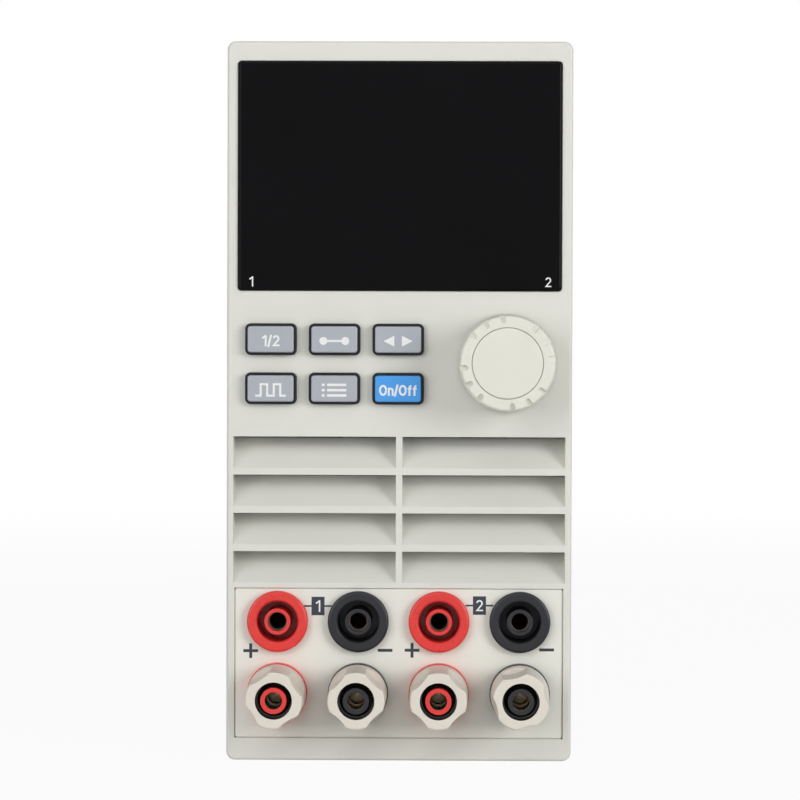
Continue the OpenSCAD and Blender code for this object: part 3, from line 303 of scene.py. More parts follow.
IVORY = linear(222, 222, 214)
FINISHES = {
    "ivory_plastic": moulded("ivory plastic", IVORY, 0.5, mottle=0.012),
    "knob_plastic": moulded("knob plastic", linear(227, 227, 215), 0.45, grain=0.18 * MM, relief=0.25,
                            mottle=0.012),
    "window_black": polished("smoked acrylic", linear(10, 10, 12), 0.05, 0.11, 0.06),
    "display_glass": polished("display glass", linear(20, 24, 25), 0.04, 0.09, 0.3),
    "collar_rubber": moulded("collar rubber", linear(30, 31, 34), 0.62, mottle=0.1, specular=0.3,
                             edge=0.08 * MM),
    "dome_silicone": moulded("dome silicone", linear(205, 205, 199), 0.55, mottle=0.04),
    "key_grey": moulded("grey key", linear(171, 176, 184), 0.38, grain=0.15 * MM, relief=0.2, mottle=0.02),
    "key_blue": moulded("blue key", linear(72, 157, 232), 0.36, grain=0.15 * MM, relief=0.2, mottle=0.03),
    "red_plastic": moulded("red plastic", linear(224, 54, 49), 0.3, grain=0.3 * MM, relief=0.15,
                           mottle=0.05),
    "black_plastic": moulded("black plastic", linear(32, 33, 38), 0.34, grain=0.3 * MM, relief=0.15,
                             mottle=0.1, specular=0.35),
    "nut_plastic": moulded("nut plastic", linear(226, 219, 207), 0.4, grain=0.2 * MM, relief=0.2,
                           mottle=0.02),
    "nickel": turned_metal("plated nickel", linear(214, 210, 200), 0.24),
    "dark_metal": turned_metal("black nickel", linear(78, 76, 74), 0.3),
    "encoder_metal": brushed("encoder metal", linear(168, 168, 164), 0.4, "x"),
    "zinc_steel": brushed("zinc sheet", linear(160, 163, 166), 0.5, "y"),
    "screw_steel": turned_metal("screw steel", linear(196, 198, 200), 0.32),
    "nylon": moulded("nylon", linear(232, 232, 226), 0.42, mottle=0.02),
    "connector_plastic": moulded("connector plastic", linear(186, 178, 158), 0.5, mottle=0.03),
    "fan_plastic": moulded("fan plastic", linear(34, 34, 36), 0.5, mottle=0.1),
    "sink_aluminium": brushed("sink aluminium", linear(214, 215, 218), 0.36, "y"),
    "transistor_plastic": moulded("transistor epoxy", linear(40, 40, 42), 0.55, mottle=0.1),
    "circuit_board": circuit("circuit board", linear(28, 96, 60)),
    "copper_bar": turned_metal("copper bar", linear(214, 140, 104), 0.3),
    "ribbon_plastic": moulded("ribbon plastic", linear(158, 160, 164), 0.45, mottle=0.05),
}
WHITE_INK = printed("white ink", linear(240, 241, 240))
DARK_INK = printed("slate ink", linear(58, 62, 72))
GOLD = turned_metal("gold contact", linear(228, 190, 112), 0.2)
WORN_NICKEL = turned_metal("worn nickel", linear(188, 180, 167), 0.2)
# A lighter copy of the ivory for the terminal plate: painted light that makes up for the shade falling on
# the plate.
PLATE_IVORY_PAINTED_LIGHTER = moulded("plate plastic", linear(231, 231, 222), 0.5, mottle=0.012)
CONTACT = turned_metal("dull contact", linear(120, 106, 98), 0.6, metallic=0.3)


def wear(piece, material):
    """Gives every slot of a piece one material."""
    if not piece.material_slots:
        piece.data.materials.append(material)
    for slot in piece.material_slots:
        slot.link = "OBJECT"
        slot.material = material


for node_name, node_object in nodes.items():
    wear(node_object, FINISHES[SLOT_OF[node_name]])
wear(nodes["sense_contacts"], CONTACT)
# The terminal plate wears the ivory painted lighter, to make up for the shade on it.
wear(nodes["terminal_plate"], PLATE_IVORY_PAINTED_LIGHTER)


# Piece making

# Faces that meet below these angles, in degrees, are shaded as one
SMOOTH = 30
THREAD_SMOOTH = 50

# A sharp corner of a line isn't drawn out further than this limit allows
MITRE_LIMIT = 0.5


def add_piece(name, mesh, material, body, replaced=()):
    """Puts a mesh in the scene as a piece that rides on a body."""
    piece = bpy.data.objects.new(name, mesh)
    bpy.context.scene.collection.objects.link(piece)
    wear(piece, material)
    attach(piece, body)
    if replaced:
        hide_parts(*replaced)
    return piece


def finish_mesh(bm, name, smooth_angle=None):
    """Turns a built mesh into mesh data, smooth where faces meet below an angle."""
    bmesh.ops.recalc_face_normals(bm, faces=bm.faces)
    if smooth_angle is not None:
        for face in bm.faces:
            face.smooth = True
        for edge in bm.edges:
            edge.smooth = edge.is_manifold and edge.calc_face_angle(0.0) < math.radians(smooth_angle)
    mesh = bpy.data.meshes.new(name)
    bm.to_mesh(mesh)
    bm.free()
    return mesh


def add_outline(bm, outline, y, thick=INK):
    """Raises a flat outline of [x, z] points from the plane y towards the front."""
    back = [bm.verts.new((x, y, z)) for x, z in outline]
    front = [bm.verts.new((x, y - thick, z)) for x, z in outline]
    bm.faces.new(front)
    bm.faces.new(list(reversed(back)))
    for i in range(len(outline)):
        j = (i + 1) % len(outline)
        bm.faces.new((back[i], back[j], front[j], front[i]))


def bar(x, z, width, height):
    """Outline of an upright rectangle about its middle."""
    return [(x - width / 2, z - height / 2), (x + width / 2, z - height / 2),
            (x + width / 2, z + height / 2), (x - width / 2, z + height / 2)]


def disc(x, z, radius, count=32):
    """Outline of a round dot."""
    turns = [2 * math.pi * k / count for k in range(count)]
    return [(x + radius * math.cos(a), z + radius * math.sin(a)) for a in turns]


def print_outlines(name, outlines, y, material, body):
    """One printed sign made of flat outlines."""
    bm = bmesh.new()
    for outline in outlines:
        add_outline(bm, outline, y)
    return add_piece(name, finish_mesh(bm, name), material, body)


def arc(x, z, reach_x, reach_z, start, end, count=20):
    """Points on a part of an ellipse, from one angle to another in degrees."""
    turns = [math.radians(start + (end - start) * k / count) for k in range(count + 1)]
    return [(x + reach_x * math.cos(a), z + reach_z * math.sin(a)) for a in turns]


def ribbon_edges(points, width, closed):
    """Both edges of a line of this width, mitred at its corners."""
    corners = [Vector(p) for p in points]
    count = len(corners)
    left = []
    right = []
    for i, corner in enumerate(corners):
        arrive = corner - corners[i - 1] if i or closed else corners[1] - corner
        leave = corners[(i + 1) % count] - corner if i < count - 1 or closed else arrive
        arrive = arrive.normalized()
        across = (arrive + leave.normalized()).normalized()
        normal = Vector((-across.y, across.x))
        reach = width / 2 / max(MITRE_LIMIT, normal.dot(Vector((-arrive.y, arrive.x))))
        left.append(corner + normal * reach)
        right.append(corner - normal * reach)
    return left, right


def add_ribbon(bm, points, width, y, thick, closed=False):
    """Raises a line of this width from the plane y towards the front."""
    rails = []
    for edge in ribbon_edges(points, width, closed):
        rails.append([bm.verts.new((p.x, y, p.y)) for p in edge])
        rails.append([bm.verts.new((p.x, y - thick, p.y)) for p in edge])
    left_back, left_front, right_back, right_front = rails
    loop = [left_back, left_front, right_front, right_back]
    count = len(points)
    for i in range(count if closed else count - 1):
        j = (i + 1) % count
        for first, second in zip(loop, loop[1:] + loop[:1]):
            bm.faces.new((first[i], first[j], second[j], second[i]))
    if not closed:
        bm.faces.new([rail[0] for rail in loop])
        bm.faces.new([rail[-1] for rail in reversed(loop)])


# Plain signs in units of the capitals' height: width, then lines as (points, closed)
# HALF is half a line's width
HALF = 0.09
GLYPHS = {
    "1": (0.46, [([(0.36, 0.0), (0.36, 1.0)], False), ([(0.05, 0.72), (0.34, 0.93)], False)]),
    "2": (0.62, [(arc(0.31, 0.69, 0.31 - HALF, 0.31 - HALF, 172, -38)
                  + [(HALF + 0.01, HALF), (0.62, HALF)], False)]),
    "O": (0.80, [(arc(0.40, 0.50, 0.40 - HALF, 0.50 - HALF, 0, 342, 19), True)]),
    "n": (0.58, [([(HALF, 0.0), (HALF, 0.74)], False),
                 (arc(0.29, 0.45, 0.29 - HALF, 0.29 - HALF, 180, 0) + [(0.58 - HALF, 0.0)], False)]),
    "f": (0.42, [([(0.19, 0.0), (0.19, 0.72)] + arc(0.38, 0.72, 0.19, 0.19, 170, 90, 8), False),
                 ([(0.02, 0.65), (0.40, 0.65)], False)]),
    "/": (0.34, [([(0.03, -0.06), (0.31, 1.04)], False)]),
}
GLYPH_GAP = 0.09

# Lines that cross lie at slightly different heights, in a round of so many steps
LAYERS = 3
LAYER_RISE = 0.2


def print_signs(name, signs, height, x, z, y, material, body, squeeze=1.0, weight=2 * HALF):
    """A row of plain signs, its capitals this high, about a middle point on the plane y."""
    width = sum(GLYPHS[sign][0] for sign in signs) + GLYPH_GAP * (len(signs) - 1)
    bm = bmesh.new()
    pen = -width / 2
    layer = 0
    for sign in signs:
        for points, closed in GLYPHS[sign][1]:
            placed = [(x + (pen + u) * height * squeeze, z + (v - 0.5) * height) for u, v in points]
            layer = (layer + 1) % LAYERS
            add_ribbon(bm, placed, weight * height, y, INK * (1 + LAYER_RISE * layer), closed)
        pen += GLYPHS[sign][0] + GLYPH_GAP
    return add_piece(name, finish_mesh(bm, name), material, body)


# Signs on the keys, each riding on its own key

SIGN_STROKE = 0.5 * MM
SIGN_DROP = 0.35 * MM


def key_ground(key):
    """Place of a key's sign, a little below the key's middle, and the plane that it lies in."""
    middle = centre(key)
    return middle.x, middle.z - SIGN_DROP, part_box(key)[0].y


def link_sign(x, z):
    """Two terminals joined by a bar."""
    reach = 2.6 * MM
    dot = 0.95 * MM
    return [disc(x - reach, z, dot), disc(x + reach, z, dot), bar(x, z, 2 * (reach - dot), SIGN_STROKE)]


def arrow_sign(x, z):
    """A pair of arrow heads that point outwards."""
    inner = 0.9 * MM
    outer = 3.45 * MM
    half = 1.28 * MM
    heads = []
    for side in (-1, 1):
        base = x + side * inner
        heads.append([(base, z - half), (base, z + half), (x + side * outer, z)])
    return heads


def wave_sign(x, z):
    """Two pulses of a square wave."""
    step = 1.55 * MM
    half = 1.35 * MM
    levels = [-1, 1, -1, 1, -1]
    outlines = []
    for i, level in enumerate(levels):
        middle = x + (i - (len(levels) - 1) / 2) * step
        outlines.append(bar(middle, z + level * half, step - SIGN_STROKE, SIGN_STROKE))
        if i:
            outlines.append(bar(middle - step / 2, z, SIGN_STROKE, 2 * half + SIGN_STROKE))
    return outlines


def list_sign(x, z):
    """Three lines of a list, each with a dot before it."""
    pitch = 1.25 * MM
    thick = 0.6 * MM
    dot_x = x - 2.6 * MM
    dot_w = 0.7 * MM
    line_x = x + 0.6 * MM
    line_w = 4.6 * MM
    outlines = []
    for row in (-1, 0, 1):
        outlines.append(bar(dot_x, z + row * pitch, dot_w, thick))
        outlines.append(bar(line_x, z + row * pitch, line_w, thick))
    return outlines


KEY_SIGNS = {
    "key_short": link_sign,
    "key_cursor": arrow_sign,
    "key_transient": wave_sign,
    "key_mode": list_sign,
}
for key, sign in KEY_SIGNS.items():
    key_x, key_z, key_y = key_ground(key)
    print_outlines(key + "_sign", sign(key_x, key_z), key_y, WHITE_INK, key)

# Signs, height of the capitals and narrowing for the keys that have a row of signs
KEY_ROWS = {
    "key_channel_select": ("1/2", 2.65 * MM, 1.0),
    "key_on_off": ("On/Off", 2.6 * MM, 0.9),
}
for key, (signs, height, squeeze) in KEY_ROWS.items():
    key_x, key_z, key_y = key_ground(key)
    print_signs(key + "_sign", signs, height, key_x, key_z, key_y, WHITE_INK, key, squeeze)


# Signs on the terminal plate and the window

PLATE_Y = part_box("terminal_plate")[0].y
POLE_Z = 26.1 * MM
POLE_ARM = 3.5 * MM
POLE_STROKE = 0.7 * MM
POLE_OFFSET = 6.4 * MM
POST_X = [centre("fluted_nut_" + terminal).x for terminal in TERMINALS]
PLUS_X = [x - POLE_OFFSET for x in POST_X[0::2]]
MINUS_X = [x + POLE_OFFSET for x in POST_X[1::2]]
CHANNEL_X = [(plus + minus) / 2 for plus, minus in zip(POST_X[0::2], POST_X[1::2])]
CHANNEL_Z = 36.7 * MM
CHANNEL_W = 3.1 * MM
CHANNEL_H = 4.4 * MM
CHANNEL_LINE = 1.75 * MM
CHANNEL_LINE_T = 0.4 * MM

# The print leans a little against the row of sockets: its rise for each unit of way to the right
PRINT_LEAN = 0.007


def lean(z, x):
    """Height of a printed sign at a place along its row."""
    return z + PRINT_LEAN * (x - POST_X[0])


pole_outlines = [bar(x, lean(POLE_Z, x), POLE_ARM, POLE_STROKE) for x in PLUS_X + MINUS_X]
for x in PLUS_X:
    upright = (POLE_ARM - POLE_STROKE) / 2
    for side in (-1, 1):
        arm_z = lean(POLE_Z, x) + side * (POLE_STROKE + upright) / 2
        pole_outlines.append(bar(x, arm_z, POLE_STROKE, upright))
print_outlines("polarity_signs", pole_outlines, PLATE_Y, DARK_INK, ROOT)

box_outlines = []
for x in CHANNEL_X:
    box_outlines.append(bar(x, lean(CHANNEL_Z, x), CHANNEL_W, CHANNEL_H))
    for side in (-1, 1):
        line_x = x + side * (CHANNEL_W + CHANNEL_LINE) / 2
        box_outlines.append(bar(line_x, lean(CHANNEL_Z, x), CHANNEL_LINE, CHANNEL_LINE_T))
print_outlines("channel_boxes", box_outlines, PLATE_Y, DARK_INK, ROOT)

WINDOW_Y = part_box("display_window")[0].y
NUMBER_WEIGHT = 0.13
WINDOW_SIGN_X = 35.2 * MM
WINDOW_SIGN_Z = 113.9 * MM
WINDOW_NUMBER_H = 2.4 * MM
CHANNEL_NUMBER_H = 2.8 * MM
for number, x in zip("12", CHANNEL_X):
    window_x = math.copysign(WINDOW_SIGN_X, x)
    print_signs("channel_number_" + number, number, CHANNEL_NUMBER_H, x, lean(CHANNEL_Z, x), PLATE_Y - INK,
                WHITE_INK, ROOT, weight=NUMBER_WEIGHT)
    print_signs("window_number_" + number, number, WINDOW_NUMBER_H, window_x, WINDOW_SIGN_Z, WINDOW_Y,
                WHITE_INK, ROOT, weight=NUMBER_WEIGHT)


# Bedding strips that close the seam round the terminal plate, just behind the plate's face

SEAM = 0.1 * MM
SEAM_CLEAR = 0.01 * MM
BED_BEHIND = 0.14 * MM
BED_DEEP = 2.0 * MM
bed_t = SEAM - 2 * SEAM_CLEAR
bed_y = PLATE_Y + BED_BEHIND + BED_DEEP
plate_low, plate_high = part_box("terminal_plate")
plate_size = plate_high - plate_low
plate_middle = centre("terminal_plate")
bed_w = plate_size.x + 2 * (SEAM - SEAM_CLEAR)
bed = bmesh.new()
for side in (-1, 1):
    side_x = plate_middle.x + side * (plate_size.x + SEAM) / 2
    side_z = plate_middle.z + side * (plate_size.z + SEAM) / 2
    add_outline(bed, bar(side_x, plate_middle.z, bed_t, plate_size.z), bed_y, BED_DEEP)
    add_outline(bed, bar(plate_middle.x, side_z, bed_w, bed_t), bed_y, BED_DEEP)
bed_mesh = finish_mesh(bed, "plate_bedding")
add_piece("plate_bedding", bed_mesh, FINISHES["ivory_plastic"], ROOT)


# Threaded studs of the binding posts

SEGMENTS = 48
THREAD_PITCH = 1.0 * MM
THREAD_DEEP = 0.42 * MM
THREAD_STEPS = 8
STUD_R = 3.9 * MM
NOSE_R = 2.6 * MM
NOSE_LEN = 3.0 * MM
TAIL_R = 2.9 * MM
TAIL_LEN = 10.0 * MM
BORE_R = 2.0 * MM
BORE_DEEP = 15.8 * MM
DRILL_SLOPE = math.tan(math.radians(31))
DRILL_FLAT = 0.1
CHAMFER = 0.25 * MM
TIP_LOW, TIP_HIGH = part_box("post_tips_positive")
TIP_R = (TIP_HIGH.z - TIP_LOW.z) / 2


def add_ring(bm, middle, y, radius_at):
    """A ring of points about a front-to-rear axis; its radius may change round the turn."""
    ring = []
    for k in range(SEGMENTS):
        turn = 2 * math.pi * k / SEGMENTS
        radius = radius_at(turn)
        x = middle.x + radius * math.cos(turn)
        z = middle.z + radius * math.sin(turn)
        ring.append(bm.verts.new((x, y, z)))
    return ring


def join_rings(bm, rings, closed=False):
    """Faces between rings in their order, with both ends closed by a disc unless the stack is a loop."""
    pairs = list(zip(rings, rings[1:]))
    if closed:
        pairs.append((rings[-1], rings[0]))
    for first, second in pairs:
        for k in range(SEGMENTS):
            n = (k + 1) % SEGMENTS
            bm.faces.new((first[k], first[n], second[n], second[k]))
    if not closed:
        bm.faces.new(rings[0])
        bm.faces.new(list(reversed(rings[-1])))


def plain(radius):
    """The same radius all round."""
    return lambda turn: radius


def thread_radius(y, start):
    """Radius round the turn of a right-hand thread at a depth y, bevelled where the thread starts."""
    def radius(turn):
        phase = (y / THREAD_PITCH + turn / (2 * math.pi)) % 1.0
        return min(STUD_R - THREAD_DEEP * abs(2 * phase - 1), TIP_R + y - start)
    return radius


def add_stud(bm, middle, front, rear):
    """A stud with a plug bore in its nose, a threaded shank and a plain tail."""
    thread_front = front + NOSE_LEN
    thread_rear = rear - TAIL_LEN
    point = front + BORE_DEEP + (1 - DRILL_FLAT) * BORE_R * DRILL_SLOPE
    rings = [add_ring(bm, middle, point, plain(DRILL_FLAT * BORE_R)),
             add_ring(bm, middle, front + BORE_DEEP, plain(BORE_R)),
             add_ring(bm, middle, front + CHAMFER, plain(BORE_R)),
             add_ring(bm, middle, front, plain(BORE_R + CHAMFER)),
             add_ring(bm, middle, front, plain(NOSE_R - CHAMFER)),
             add_ring(bm, middle, front + CHAMFER, plain(NOSE_R)),
             add_ring(bm, middle, thread_front, plain(NOSE_R))]
    count = round((thread_rear - thread_front) / THREAD_PITCH * THREAD_STEPS)
    for i in range(count + 1):
        y = thread_front + (thread_rear - thread_front) * i / count
        rings.append(add_ring(bm, middle, y, thread_radius(y, thread_front)))
    rings += [add_ring(bm, middle, thread_rear, plain(TAIL_R)),
              add_ring(bm, middle, rear - CHAMFER, plain(TAIL_R)),
              add_ring(bm, middle, rear, plain(TAIL_R - CHAMFER))]
    join_rings(bm, rings)


stud_low, stud_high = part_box("post_studs")
studs = bmesh.new()
for terminal in TERMINALS:
    add_stud(studs, centre("fluted_nut_" + terminal), stud_low.y, stud_high.y)
stud_mesh = finish_mesh(studs, "post_studs_threaded", THREAD_SMOOTH)
add_piece("post_studs_threaded", stud_mesh, WORN_NICKEL, ROOT, ("post_studs",))


# Countersunk screws with a cross recess

SCREW_SEGMENTS = 32
CROSS_REACH = 1.55 * MM
CROSS_HALF = 0.42 * MM
CROSS_DEEP = 0.9 * MM
CROSS_TAPER = 0.62

# Points closer than this are one point, and points nearer the axis than the next are no part of the shank
WELD = 0.001 * MM
AXIS_R = 0.1 * MM


def islands(piece):
    """The separate solids of a mesh, each as a list of its corner points."""
    bm = bmesh.new()
    bm.from_mesh(piece.data)
    bmesh.ops.remove_doubles(bm, verts=bm.verts, dist=WELD)
    waiting = set(bm.verts)
    found = []
    while waiting:
        reached = [waiting.pop()]
        solid = []
        while reached:
            vert = reached.pop()
            solid.append(vert.co.copy())
            for edge in vert.link_edges:
                other = edge.other_vert(vert)
                if other in waiting:
                    waiting.remove(other)
                    reached.append(other)
        found.append(solid)
    bm.free()
    return found


def screw_place(points):
    """Head's middle, outward direction, head radius, shank radius and length of a screw."""
    low = Vector([min(p[k] for p in points) for k in range(3)])
    high = Vector([max(p[k] for p in points) for k in range(3)])
    size = high - low
    axis = max(range(3), key=lambda k: size[k])
    middle = (low + high) / 2
    across = [k for k in range(3) if k != axis]

    def radius(point):
        return math.hypot(*(point[k] - middle[k] for k in across))

    widest = max(points, key=radius)
    outward = Vector((0, 0, 0))
    outward[axis] = 1.0 if widest[axis] > middle[axis] else -1.0
    end = high if outward[axis] > 0 else low
    top = middle.copy()
    top[axis] = end[axis]
    shank = min(radius(p) for p in points if radius(p) > AXIS_R)
    return top, outward, radius(widest), shank, size[axis]


def cross_outline(scale):
    """Twelve corners of a cross."""
    corners = []
    for quarter in range(4):
        turn = Matrix.Rotation(quarter * math.pi / 2, 2)
        for x, y in ((CROSS_REACH, -CROSS_HALF), (CROSS_REACH, CROSS_HALF), (CROSS_HALF, CROSS_HALF)):
            corners.append(turn @ Vector((x, y)) * scale)
    return corners


def loop_edges(bm, loop):
    """New edges round a closed loop of points."""
    return [bm.edges.new((loop[k], loop[(k + 1) % len(loop)])) for k in range(len(loop))]


def add_screw(bm, points):
    """A countersunk screw with a cross recess, in the place of a plain one."""
    top, outward, head_r, shank_r, length = screw_place(points)
    turn = Vector((0, 0, 1)).rotation_difference(outward).to_matrix().to_4x4()
    place = Matrix.Translation(top) @ turn

    def vert(x, y, z):
        return bm.verts.new(place @ Vector((x, y, z)))

    def ring(radius, z):
        turns = [2 * math.pi * k / SCREW_SEGMENTS for k in range(SCREW_SEGMENTS)]
        return [vert(radius * math.cos(a), radius * math.sin(a), z) for a in turns]

    head_h = head_r - shank_r
    stack = [ring(head_r, 0.0), ring(shank_r, -head_h), ring(shank_r, -length)]
    for first, second in zip(stack, stack[1:]):
        for k in range(SCREW_SEGMENTS):
            n = (k + 1) % SCREW_SEGMENTS
            bm.faces.new((first[k], first[n], second[n], second[k]))
    bm.faces.new(stack[-1])
    mouth = [vert(c.x, c.y, 0.0) for c in cross_outline(1.0)]
    floor = [vert(c.x, c.y, -CROSS_DEEP) for c in cross_outline(CROSS_TAPER)]
    rim = [bm.edges.get((stack[0][k], stack[0][(k + 1) % SCREW_SEGMENTS])) for k in range(SCREW_SEGMENTS)]
    bmesh.ops.triangle_fill(bm, edges=rim + loop_edges(bm, mouth), use_beauty=True)
    for k in range(len(mouth)):
        n = (k + 1) % len(mouth)
        bm.faces.new((mouth[k], mouth[n], floor[n], floor[k]))
    bm.faces.new(floor)


screws = bmesh.new()
for solid in islands(nodes["chassis_screws"]):
    add_screw(screws, solid)
screw_mesh = finish_mesh(screws, "chassis_screws_cross", SMOOTH)
add_piece("chassis_screws_cross", screw_mesh, FINISHES["screw_steel"], ROOT, ("chassis_screws",))


# Gold contact pads on both faces of the rear connector's tongue

PAD_PITCH = 1.8 * MM
PAD_W = 1.1 * MM
PAD_T = 0.05 * MM
PAD_LEN = 4.2 * MM
PAD_END = 1.2 * MM
TONGUE_HALF_W = 23.0 * MM
TONGUE_HALF_T = 2.5 * MM
TONGUE_KEY_X = 8.0 * MM
TONGUE_KEY_CLEAR = 1.5 * MM


def add_pad(bm, x, y, z, outward):
    """A flat pad with bevelled sides on a face that looks up or down."""
    corners = []
    for raise_by, shrink in ((0.0, 0.0), (PAD_T, PAD_T)):
        half_w = PAD_W / 2 - shrink
        half_l = PAD_LEN / 2 - shrink
        corners.append([bm.verts.new((x + u * half_w, y + v * half_l, z + outward * raise_by))
                        for u, v in ((-1, -1), (1, -1), (1, 1), (-1, 1))])
    bottom, top = corners
    bm.faces.new(top)
    bm.faces.new(list(reversed(bottom)))
    for k in range(4):
        n = (k + 1) % 4
        bm.faces.new((bottom[k], bottom[n], top[n], top[k]))


tongue_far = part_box("backplane_connector")[1].y
tongue_z = centre("backplane_connector").z
pad_count = int(2 * TONGUE_HALF_W / PAD_PITCH) - 1
pad_y = tongue_far - PAD_END - PAD_LEN / 2
pads = bmesh.new()
for k in range(pad_count):
    pad_x = (k - (pad_count - 1) / 2) * PAD_PITCH
    if abs(pad_x - TONGUE_KEY_X) < TONGUE_KEY_CLEAR:
        continue
    for outward in (-1, 1):
        add_pad(pads, pad_x, pad_y, tongue_z + outward * TONGUE_HALF_T, outward)
add_piece("connector_pads", finish_mesh(pads, "connector_pads"), GOLD, ROOT)


# Rubber sheet under the keys, with a dome below each key

KEYS = ("key_channel_select", "key_short", "key_cursor", "key_transient", "key_mode", "key_on_off")
DOME_SHEET_T = 1.0 * MM
DOME_R = 3.6 * MM
DOME_TOP_R = 2.2 * MM
DOME_SKIN = 0.6 * MM
DOME_LOW, DOME_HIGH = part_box("key_dome_sheet")
SHEET_Y = DOME_HIGH.y - DOME_SHEET_T


def add_dome(bm, middle):
    """A hollow dome that is open at the sheet."""
    hollow_r = DOME_TOP_R - DOME_SKIN
    join_rings(bm, [add_ring(bm, middle, DOME_LOW.y + DOME_SKIN, plain(hollow_r)),
                    add_ring(bm, middle, SHEET_Y, plain(DOME_R - DOME_SKIN)),
                    add_ring(bm, middle, SHEET_Y, plain(DOME_R)),
                    add_ring(bm, middle, DOME_LOW.y, plain(DOME_TOP_R))])


def add_dome_sheet(bm):
    """The flat sheet with an air hole under each dome."""
    corners = bar((DOME_LOW.x + DOME_HIGH.x) / 2, (DOME_LOW.z + DOME_HIGH.z) / 2,
                  DOME_HIGH.x - DOME_LOW.x, DOME_HIGH.z - DOME_LOW.z)
    layers = []
    for y in (SHEET_Y, DOME_HIGH.y):
        loops = [[bm.verts.new((x, y, z)) for x, z in corners]]
        loops += [add_ring(bm, centre(key), y, plain(DOME_R - DOME_SKIN)) for key in KEYS]
        edges = [edge for loop in loops for edge in loop_edges(bm, loop)]
        bmesh.ops.triangle_fill(bm, edges=edges, use_beauty=True)
        layers.append(loops)
    for front, back in zip(*layers):
        for k in range(len(front)):
            n = (k + 1) % len(front)
            bm.faces.new((front[k], front[n], back[n], back[k]))


sheet = bmesh.new()
add_dome_sheet(sheet)
silicone = FINISHES["dome_silicone"]
sheet_mesh = finish_mesh(sheet, "dome_sheet", SMOOTH)
add_piece("dome_sheet", sheet_mesh, silicone, ROOT, ("key_dome_sheet",))
for key in KEYS:
    dome = bmesh.new()
    add_dome(dome, centre(key))
    dome_mesh = finish_mesh(dome, "dome_" + key, SMOOTH)
    piece = add_piece("dome_" + key, dome_mesh, silicone, ROOT)
    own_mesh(piece)


# Studio

FLOOR_HALF = 6.0
FLOOR_DROP = 0.02 * MM
FLOOR_ROUGH = 0.9
SPECK_SCALE = 300

# Seen directly, the floor's share of plain white grows from the near distance to the far one
NEAR = 0.3
FAR = 0.9
NEAR_WHITE = 0.93

floor_mesh = bpy.data.meshes.new("floor")
floor_mesh.from_pydata([(-FLOOR_HALF, -FLOOR_HALF, 0), (FLOOR_HALF, -FLOOR_HALF, 0),
                        (FLOOR_HALF, FLOOR_HALF, 0), (-FLOOR_HALF, FLOOR_HALF, 0)], [], [(0, 1, 2, 3)])
floor = bpy.data.objects.new("floor", floor_mesh)
floor.location.z = cad_box[0].z - FLOOR_DROP
bpy.context.scene.collection.objects.link(floor)


def seen_directly(tree):
    """1 for camera, mirror and glass rays, so that they meet a white ground."""
    path = tree.nodes.new("ShaderNodeLightPath")
    total = None
    for name in ("Is Camera Ray", "Is Glossy Ray", "Is Transmission Ray"):
        if total is None:
            total = path.outputs[name]
            continue
        add = tree.nodes.new("ShaderNodeMath")
        add.operation = "MAXIMUM"
        tree.links.new(total, add.inputs[0])
        tree.links.new(path.outputs[name], add.inputs[1])
        total = add.outputs["Value"]
    return total


def floor_material():
    """Pale matt floor; seen directly it is white, with a share of its real shading near the object."""
    material = bpy.data.materials.new("floor")
    material.use_nodes = True
    tree = material.node_tree
    shader = tree.nodes["Principled BSDF"]
    shader.inputs["Roughness"].default_value = FLOOR_ROUGH
    coords = tree.nodes.new("ShaderNodeTexCoord")
    specks = tree.nodes.new("ShaderNodeTexNoise")
    specks.inputs["Scale"].default_value = SPECK_SCALE
    tree.links.new(coords.outputs["Object"], specks.inputs["Vector"])
    ramp = tree.nodes.new("ShaderNodeValToRGB")
    ramp.color_ramp.elements[0].color = linear(226, 226, 226)
    ramp.color_ramp.elements[1].color = linear(232, 232, 232)
    tree.links.new(specks.outputs["Fac"], ramp.inputs["Fac"])
    tree.links.new(ramp.outputs["Color"], shader.inputs["Base Color"])
    white = tree.nodes.new("ShaderNodeEmission")
    white.inputs["Strength"].default_value = 1.0
    length = tree.nodes.new("ShaderNodeVectorMath")
    length.operation = "LENGTH"
    tree.links.new(coords.outputs["Object"], length.inputs[0])
    share = tree.nodes.new("ShaderNodeMapRange")
    share.inputs["From Min"].default_value = NEAR
    share.inputs["From Max"].default_value = FAR
    share.inputs["To Min"].default_value = NEAR_WHITE
    share.inputs["To Max"].default_value = 1.0
    tree.links.new(length.outputs["Value"], share.inputs["Value"])
    factor = tree.nodes.new("ShaderNodeMath")
    factor.operation = "MULTIPLY"
    tree.links.new(seen_directly(tree), factor.inputs[0])
    tree.links.new(share.outputs["Result"], factor.inputs[1])
    mix = tree.nodes.new("ShaderNodeMixShader")
    tree.links.new(factor.outputs["Value"], mix.inputs["Fac"])
    tree.links.new(shader.outputs["BSDF"], mix.inputs[1])
    tree.links.new(white.outputs["Emission"], mix.inputs[2])
    tree.links.new(mix.outputs["Shader"], tree.nodes["Material Output"].inputs["Surface"])
    return material


floor.data.materials.append(floor_material())

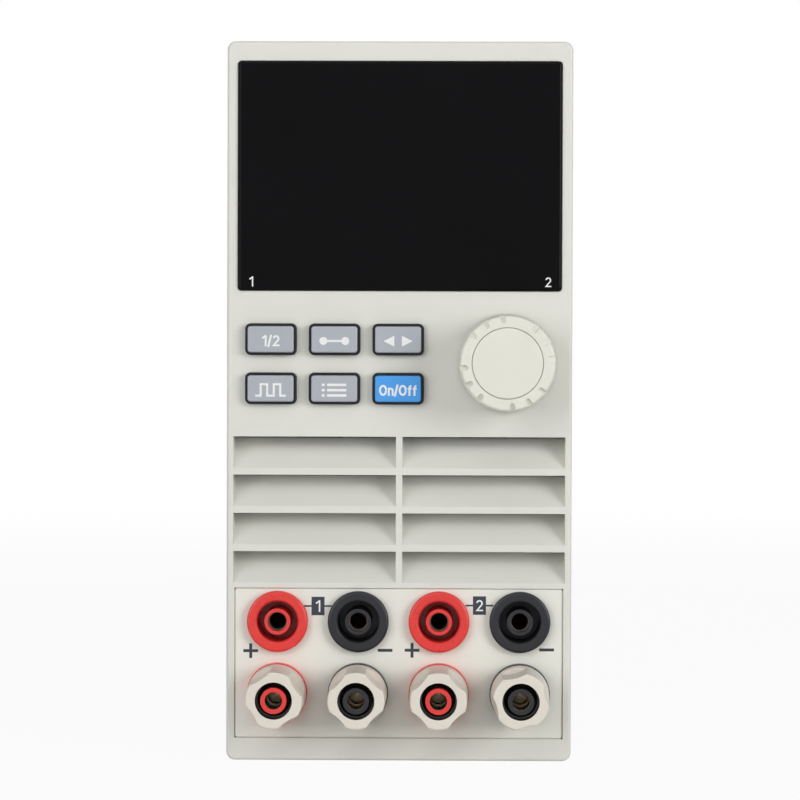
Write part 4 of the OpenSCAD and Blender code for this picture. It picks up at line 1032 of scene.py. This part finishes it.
WORLD_LIGHT = 0.1
world = bpy.data.worlds.new("studio")
bpy.context.scene.world = world
world.use_nodes = True
world_tree = world.node_tree
ground = world_tree.nodes["Background"]
ground.inputs["Color"].default_value = linear(250, 251, 253)
ground.inputs["Strength"].default_value = WORLD_LIGHT
backdrop = world_tree.nodes.new("ShaderNodeBackground")
backdrop.inputs["Color"].default_value = (1.0, 1.0, 1.0, 1.0)
backdrop.inputs["Strength"].default_value = 1.0
mix_world = world_tree.nodes.new("ShaderNodeMixShader")
world_tree.links.new(seen_directly(world_tree), mix_world.inputs["Fac"])
world_tree.links.new(ground.outputs["Background"], mix_world.inputs[1])
world_tree.links.new(backdrop.outputs["Background"], mix_world.inputs[2])
world_tree.links.new(mix_world.outputs["Shader"], world_tree.nodes["World Output"].inputs["Surface"])

PANEL_MIDDLE = Vector((0.0, FACE_Y, 85.75 * MM))
BACK_AIM = Vector((0.0, 0.1, 0.1))


def add_lamp(name, offset, size, power, aim=PANEL_MIDDLE):
    """Square soft box that faces the point it is aimed at."""
    data = bpy.data.lights.new(name, "AREA")
    data.size = size
    data.energy = power
    lamp = bpy.data.objects.new(name, data)
    lamp.location = aim + Vector(offset)
    lamp.rotation_mode = "QUATERNION"
    lamp.rotation_quaternion = (aim - lamp.location).to_track_quat("-Z", "Y")
    bpy.context.scene.collection.objects.link(lamp)
    return lamp


add_lamp("key_light", (0.95, -0.85, 0.28), 0.6, 8.3)
add_lamp("fill_light", (-0.75, -0.95, 0.24), 0.9, 7.0)
add_lamp("top_light", (0.0, -0.8, 0.9), 0.8, 2.2)
add_lamp("back_light", (0.2, 1.1, 1.0), 1.0, 5.0, aim=BACK_AIM)

# Camera at the photograph's place: a little above and to the right of the panel's middle

SENSOR = 36.0
PICTURE = 800
FOCAL_PIXELS = 3476
CAMERA_BACK = 0.825
CAMERA_X = 0.013
CAMERA_Z = 0.1035
AIM_X = 0.00016
AIM_Z = 0.08587
ROLL = math.radians(0.18)

camera_data = bpy.data.cameras.new("camera")
camera_data.sensor_width = SENSOR
camera_data.lens = SENSOR * FOCAL_PIXELS / PICTURE
camera = bpy.data.objects.new("camera", camera_data)
camera.location = (CAMERA_X, FACE_Y - CAMERA_BACK, CAMERA_Z)
aim = Vector((AIM_X, FACE_Y, AIM_Z))
camera.rotation_mode = "QUATERNION"
camera.rotation_quaternion = (aim - camera.location).to_track_quat("-Z", "Y") @ Quaternion((0, 0, 1), ROLL)
bpy.context.scene.collection.objects.link(camera)
bpy.context.scene.camera = camera

bpy.context.scene.view_settings.view_transform = "Standard"
